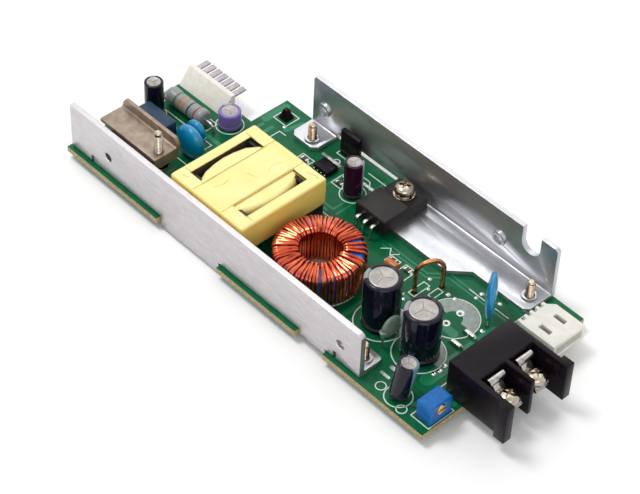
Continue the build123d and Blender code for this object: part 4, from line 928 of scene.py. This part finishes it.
def lay_traces():
    """Copper under the mask, lighter than the board, and darker gaps and dots beside it."""
    mesh = bmesh.new()
    for points, width in (
        ([(78.0, 35.6), (92.6, 35.6), (96.8, 39.6), (117.0, 39.6)], 0.5),
        ([(79.0, 36.8), (92.0, 36.8), (96.0, 40.8), (104.0, 40.8)], 0.5),
        ([(88.6, 27.6), (96.0, 27.6), (99.6, 24.2)], 0.9),
        ([(86.0, 24.6), (91.0, 24.6)], 0.6), ([(103.0, 27.4), (110.0, 27.4)], 2.4),
        ([(116.0, 12.6), (116.0, 35.0)], 3.6), ([(112.6, 44.2), (119.0, 44.2)], 1.2),
        ([(119.0, 5.0), (125.2, 12.0)], 1.4), ([(62.8, 34.4), (62.8, 51.2)], 0.6),
        ([(55.6, 35.0), (61.0, 35.0), (61.0, 39.2)], 0.6),
        ([(36.0, 33.6), (60.0, 33.6)], 0.8),
        ([(45.6, 38.4), (52.4, 38.4), (53.4, 39.4), (53.4, 47.6)], 0.5),
        ([(31.8, 46.0), (33.0, 50.6)], 1.6), ([(25.0, 45.0), (25.0, 52.0)], 2.4),
        ([(30.6, 4.0), (30.6, 31.0)], 2.0),
        ([(19.2, 29.4), (27.2, 29.4), (28.6, 30.8), (28.6, 44.0)], 1.2),
        ([(26.0, 33.0), (26.0, 43.0)], 1.0), ([(1.6, 20.0), (1.6, 28.0)], 1.2),
        ([(2.0, 14.0), (4.4, 16.4), (4.4, 20.8)], 0.8), ([(10.0, 24.6), (15.0, 24.6)], 2.0),
        ([(65.0, 3.2), (65.0, 9.0)], 1.6), ([(88.6, 10.6), (88.6, 22.0)], 1.6),
    ):
        draw_line(mesh, points, width, 0.02)
    add_piece("board_traces", mesh, "trace_green")
    mesh = bmesh.new()
    for points in (
        [(78.6, 38.0), (91.6, 38.0)],
        [(86.6, 33.8), (91.0, 33.8), (91.0, 31.0)],
        [(100.0, 26.0), (104.8, 26.0)], [(113.8, 9.0), (119.2, 9.0), (120.4, 11.4)],
        [(34.6, 34.8), (41.0, 34.8)], [(58.6, 37.2), (64.6, 37.2)], [(55.0, 40.0), (55.0, 36.6)],
        [(24.8, 30.6), (24.8, 43.6)],
    ):
        draw_line(mesh, points, 0.35, 0.015)
    dots = [(99.2, 22.8), (103.4, 24.6), (92.4, 24.4), (64.2, 39.6), (57.2, 38.6)]
    for x, y in dots + [(34.2, 42.2), (30.2, 41.4)]:
        set_down(mesh, turned([(0, 0), (0.35, 0), (0.35, 0.02), (0, 0.02)], 16), x, y)
    add_piece("board_gaps", mesh, "dark_trace")


def tin_board():
    """Tinned pads and strips on the top."""
    mesh = bmesh.new()
    for x, y, radius in (
        (93.7, 36.0, 0.55), (95.8, 33.3, 0.5), (100.2, 35.6, 0.6), (102.3, 35.8, 0.6),
        (94.2, 26.5, 0.5), (105.4, 41.8, 0.6), (105.4, 39.8, 0.5), (110.5, 42.7, 0.55),
        (113.8, 33.2, 0.6), (115.7, 15.1, 0.6), (116.0, 16.8, 0.6), (115.7, 18.8, 0.6),
        (66.8, 38.8, 0.5), (64.6, 43.2, 0.45), (34.6, 40.4, 0.5), (30.6, 46.4, 0.5),
    ):
        pad = turned([(radius * 1.15, 0), (radius, 0.09), (radius * 0.6, 0.2), (0, 0.24)], 20)
        set_down(mesh, pad, x, y)
    for x, y in ((106.5, 28.5), (106.5, 33.3)):
        ring = turned([(1.05, 0), (1.0, 0.08), (0.7, 0.12), (0.46, 0.05), (0.46, 0)], 28)
        set_down(mesh, ring, x, y)
    for start, end, width in (
        ((9.8, 2.1), (33.0, 2.1), 1.5), ((60.0, 2.1), (82.6, 2.1), 1.5),
        ((12.0, 10.6), (20.4, 10.6), 0.9), ((107.4, 6.4), (109.8, 6.4), 0.8),
        ((108.0, 9.2), (112.0, 9.2), 1.1), ((44.6, 47.0), (64.4, 47.0), 0.9),
    ):
        set_down(mesh, stadium(start, end, width, 0.1), 0, 0)
    add_piece("board_tinning", mesh, "solder")


def bare_half_moons():
    """The grey half moons of the empty place and beside the output capacitors."""
    mesh = bmesh.new()
    for x, y, inner in ((106.5, 30.9, 2.3), (108.8, 17.1, 4.9), (95.8, 17.3, 4.9)):
        moon = turned([(inner, 0), (inner, 0.025), (6.2, 0.025), (6.2, 0)], 64)
        cut = bmesh.ops.bisect_plane(
            moon,
            geom=moon.verts[:] + moon.edges[:] + moon.faces[:],
            plane_co=(0, 0.1, 0),
            plane_no=(0, -1, 0),
            clear_outer=True,
        )
        bmesh.ops.holes_fill(moon, edges=picked(cut["geom_cut"], BMEdge))
        set_down(mesh, moon, x, y)
    add_piece("board_half_moons", mesh, "bare_grey")


def lay_below(mesh, tracks, thickness, step):
    """Flat strips under the board, each one of a track slightly thicker than the last."""
    for points, width in tracks:
        for number, (start, end) in enumerate(zip(points, points[1:])):
            height = thickness + step * number
            set_down(mesh, stadium(start, end, width, height), 0, 0, -BOARD - height)


def solder_below():
    """A bright cone of solder round each lead under the board, and the tinned strips."""
    mesh = bmesh.new()
    thin = [(3.8, 24.7), (5.8, 24.7), (19.55, 36.4), (22.05, 36.4), (59.2, 42.4), (61.2, 42.4)]
    thin += [(114.49, 4.91), (115.91, 3.49), (7.25, 19.1), (16.55, 19.1), (17.5, 25.8)]
    thin += [(22.5, 25.8), (20.9, 20.9), (25.9, 20.9), (47.75, 51.1), (52.75, 51.1)]
    thin += [(102.1, 11.8), (102.1, 16.8), (110.66, 38.87), (113.74, 34.93), (95.9, 14.7)]
    thin += [(95.9, 19.7), (109.0, 14.7), (109.0, 19.7), (122.2, 41.5), (122.2, 44.0)]
    thin += [(122.2, 46.5), (124.05, 4.0), (124.05, 6.5), (124.05, 9.0)]
    thin += [(1.66 + 2.33 * pin, 38.6) for pin in range(7)]
    broad = [(39.3 + 5 * pin, y) for pin in range(5) for y in (6.35, 28.25)]
    broad += [(69.51 + 2.54 * pin, 34.4) for pin in range(3)]
    broad += [(8.8, 6.56 + 2.54 * pin) for pin in range(3)]
    broad += [(2.0, 30.9), (20.6, 30.9), (125.8, 18.15), (125.8, 27.25), (94.3, 30.1), (97.5, 36.3)]
    for places, foot, height in ((thin, 0.85, 0.75), (broad, 1.15, 0.85)):
        skirt = [(0.0, 0.0), (foot, 0), (foot * 0.72, 0.12)]
        tip = [(foot * 0.5, height * 0.55), (foot * 0.38, height)]
        for x, y in places:
            set_down(mesh, turned(skirt + tip, 12), x, y, -BOARD, UPSIDE_DOWN)
    strips = (
        ([(95.9, 14.7), (109.0, 14.7), (125.8, 18.15)], 2.6),
        ([(95.9, 19.7), (109.0, 19.7), (125.8, 27.25)], 2.6),
        ([(49.3, 6.35), (44.3, 6.35), (39.3, 6.35)], 1.8),
        ([(20.6, 30.9), (28.0, 30.9), (39.3, 28.25)], 1.8),
    )
    lay_below(mesh, strips, 0.12, 0.004)
    add_piece("solder_joints", mesh, "solder")


def lay_underside():
    """Copper under the mask of the underside."""
    mesh = bmesh.new()
    tracks = (
        ([(8.8, 9.1), (24.0, 9.1), (28.0, 13.0), (28.0, 26.0)], 1.4),
        ([(3.8, 24.7), (3.8, 36.0)], 0.9),
        ([(15.6, 38.6), (17.4, 40.2), (24.6, 40.2), (27.0, 42.6), (43.0, 42.6)], 0.8),
        ([(13.3, 38.6), (13.3, 36.4), (15.5, 34.2), (31.0, 34.2), (38.2, 41.4), (56.0, 41.4)], 0.8),
        ([(11.0, 38.6), (11.0, 35.6), (13.6, 33.0), (33.0, 33.0), (40.0, 40.0), (62.0, 40.0)], 0.8),
        ([(72.05, 34.4), (72.05, 30.0), (88.0, 30.0)], 1.6),
        ([(97.5, 36.3), (110.0, 36.3), (122.2, 41.5)], 1.2),
        ([(122.2, 44.0), (108.0, 44.0), (100.0, 40.0)], 0.8),
        ([(124.05, 9.0), (124.05, 12.0), (119.0, 14.0)], 0.8),
        ([(64.0, 20.0), (64.0, 12.0), (88.0, 12.0)], 2.4),
    )
    lay_below(mesh, tracks, 0.03, 0.002)
    add_piece("underside_traces", mesh, "trace_green")


# Surface parts, terminal contacts and the signal connector


def cap_surface_parts():
    """Bright solder ends on the little surface-mounted parts."""
    mesh = bmesh.new()
    places = [(43.2, 42.0), (43.6, 36.2), (55.4, 42.6), (55.4, 45.0)]
    for x, y in places + [(83.6, 33.4), (88.2, 30.2), (88.4, 33.8)]:
        for side in (-1, 1):
            set_down(mesh, block(0.5, 1.32, 0.66, 0.1), x + side * 0.8, y)
            foot = turned([(0, 0), (0.62, 0), (0.5, 0.12), (0.2, 0.4), (0, 0.5)], 12)
            set_down(mesh, foot, x + side * 1.15, y)
    add_piece("surface_part_ends", mesh, "solder")


def roll_contacts():
    """Contact strips whose tops are rolled over, flush pins and a tongue under each clamp."""
    mesh = bmesh.new()
    radius, width = 1.08, 5.2
    bevel = [(0.8, 0), (1.02, 0.14), (radius, 0.4)]
    mirrored = [(across, width - height) for across, height in reversed(bevel)]
    lying, sloping = Matrix.Rotation(pi / 2, 4, "X"), Matrix.Rotation(radians(52), 4, "Y")
    for y in TERMINAL_ROWS:
        set_down(mesh, block(7.9, 4.6, 0.8, 0.12), 133.95, y, 4.4)
        set_down(mesh, block(0.8, 4.6, 4.6, 0.12), 130.4, y, 4.5)
        roll = turned([(0, 0)] + bevel + mirrored + [(0, width)], 24)
        set_down(mesh, roll, 131.2, y + width / 2, 9.2, lying)
        set_down(mesh, block(3.4, 3.2, 0.5, 0.12), 132.4, y, 7.2, sloping)
        set_down(mesh, bent_wire([(0, 0, 0), (0, 0, -2.8)], 0.8, 0.5, 16), 125.8, y)
    finish = "terminal_plate"
    add_piece("terminal_rolled_contacts", mesh, finish, ("terminal_contacts",))


def rib_connector():
    """The ribs at the back of the signal connector, with its leads between them."""
    mesh = bmesh.new()
    for rib in range(5):
        set_down(mesh, block(1.2, 0.95, 4.15, 0.12), 119.75, 39.3 + 2.0 * rib)
    add_piece("connector_rear_ribs", mesh, "white_nylon")


place_screws()
wind_toroid()
stand_capacitors()
wrap_tape()
lap_tape()
paint_tape_shade()
wind_transformer()
stand_discs()
lay_resistor()
print_board()
lay_traces()
tin_board()
bare_half_moons()
solder_below()
lay_underside()
cap_surface_parts()
roll_contacts()
rib_connector()

# The nodes whose own shape is kept, with the size that their sharp edges are broken by
for node, edge in (
    ("front_bracket", 0.16), ("power_device_body", 0.14), ("device_washers", 0.08),
    ("heatsink", 0.14), ("sink_device_body", 0.14), ("transformer_bobbin", 0.14),
    ("film_capacitor", 0.2), ("terminal_housing", 0.16), ("terminal_clamps", 0.14),
    ("connector_housing", 0.14), ("connector_pins", 0.1), ("header_body", 0.14),
    ("trimmer_body", 0.16), ("chip_body", 0.1), ("chip_leads", 0.04), ("surface_diode", 0.12),
    ("upright_part", 0.12), ("bead_choke", 0.12), ("tinned_straps", 0.1),
    ("power_device_leads", 0.08), ("sink_device_leads", 0.08),
):
    softened(node, edge)
# The rear bracket's own copy of the aluminium paints its light and shade.
softened("rear_bracket", 0.1, finish="rear_aluminium_painted_light")
softened("trimmer_rotor", 0.08, "rotor")
softened("header_pins", 0.12, finish="dull_tin")
softened("wire_loop", 0.1, finish="bare_copper")


# The ground, the lamps and the camera


def seen_directly(tree):
    """One where the camera or a mirror-like or clear surface looks, nought for soft light."""
    light = tree.nodes.new("ShaderNodeLightPath")
    seen = light.outputs["Is Camera Ray"]
    for name in ("Is Glossy Ray", "Is Transmission Ray"):
        seen = reckoned(tree, "MAXIMUM", seen, light.outputs[name])
    return seen


def white_ground():
    """A floor that shows white, keeps the shadow, and stays white far from the lamps."""
    mesh = bmesh.new()
    bmesh.ops.create_grid(mesh, x_segments=1, y_segments=1, size=3)
    data = bpy.data.meshes.new("ground")
    mesh.to_mesh(data)
    mesh.free()
    material = new_material("ground_white", (1, 1, 1), 1.0, 0.0, 0.0)
    tree = material.node_tree
    distance = reckoned(tree, "LENGTH", object_place(material), kind="ShaderNodeVectorMath")
    rise = between(material, distance, 0.0, 0.6, 0.1, 1.0)
    lift = reckoned(tree, "MULTIPLY", rise, seen_directly(tree))
    tree.nodes["Principled BSDF"].inputs["Emission Color"].default_value = (1, 1, 1, 1)
    set_from(material, "Emission Strength", lift)
    data.materials.append(material)
    in_scene("ground", data)


def pale_world():
    """A soft sky that is white where it is seen or mirrored."""
    world = bpy.data.worlds.new("pale")
    bpy.context.scene.world = world
    world.use_nodes = True
    tree = world.node_tree
    sky = tree.nodes["Background"]
    sky.inputs["Color"].default_value = (1, 1, 1, 1)
    level = between(world, seen_directly(tree), 0.5, 1.0)
    tree.links.new(level, sky.inputs["Strength"])


def lamp(name, place, size, power):
    """A square area lamp that looks at the origin."""
    data = bpy.data.lights.new(name, "AREA")
    data.size = size
    data.energy = power
    light = in_scene(name, data)
    light.location = place
    light.rotation_euler = (-Vector(place)).to_track_quat("-Z", "Y").to_euler()


def photo_camera():
    """The photograph's view, from above, the front and the output end."""
    data = bpy.data.cameras.new("photo_camera")
    data.lens = 118.4
    data.sensor_width = 36
    data.clip_start = 0.01
    camera = in_scene("photo_camera", data)
    right = Vector((0.68240, 0.73025, 0.03260))
    up = Vector((-0.53194, 0.46550, 0.70736))
    turn = Matrix((right, up, right.cross(up))).transposed().to_4x4()
    camera.matrix_world = Matrix.Translation((0.25385, -0.2587, 0.3637)) @ turn
    bpy.context.scene.camera = camera


white_ground()
pale_world()
lamp("key", (-0.22, -0.12, 0.6), 0.2, 1.7)
lamp("rear_window", (-0.3, 0.34, 0.46), 0.75, 1.4)
lamp("fill", (0.5, -0.35, 0.4), 0.5, 1.1)
photo_camera()
bpy.context.scene.view_settings.view_transform = "Standard"
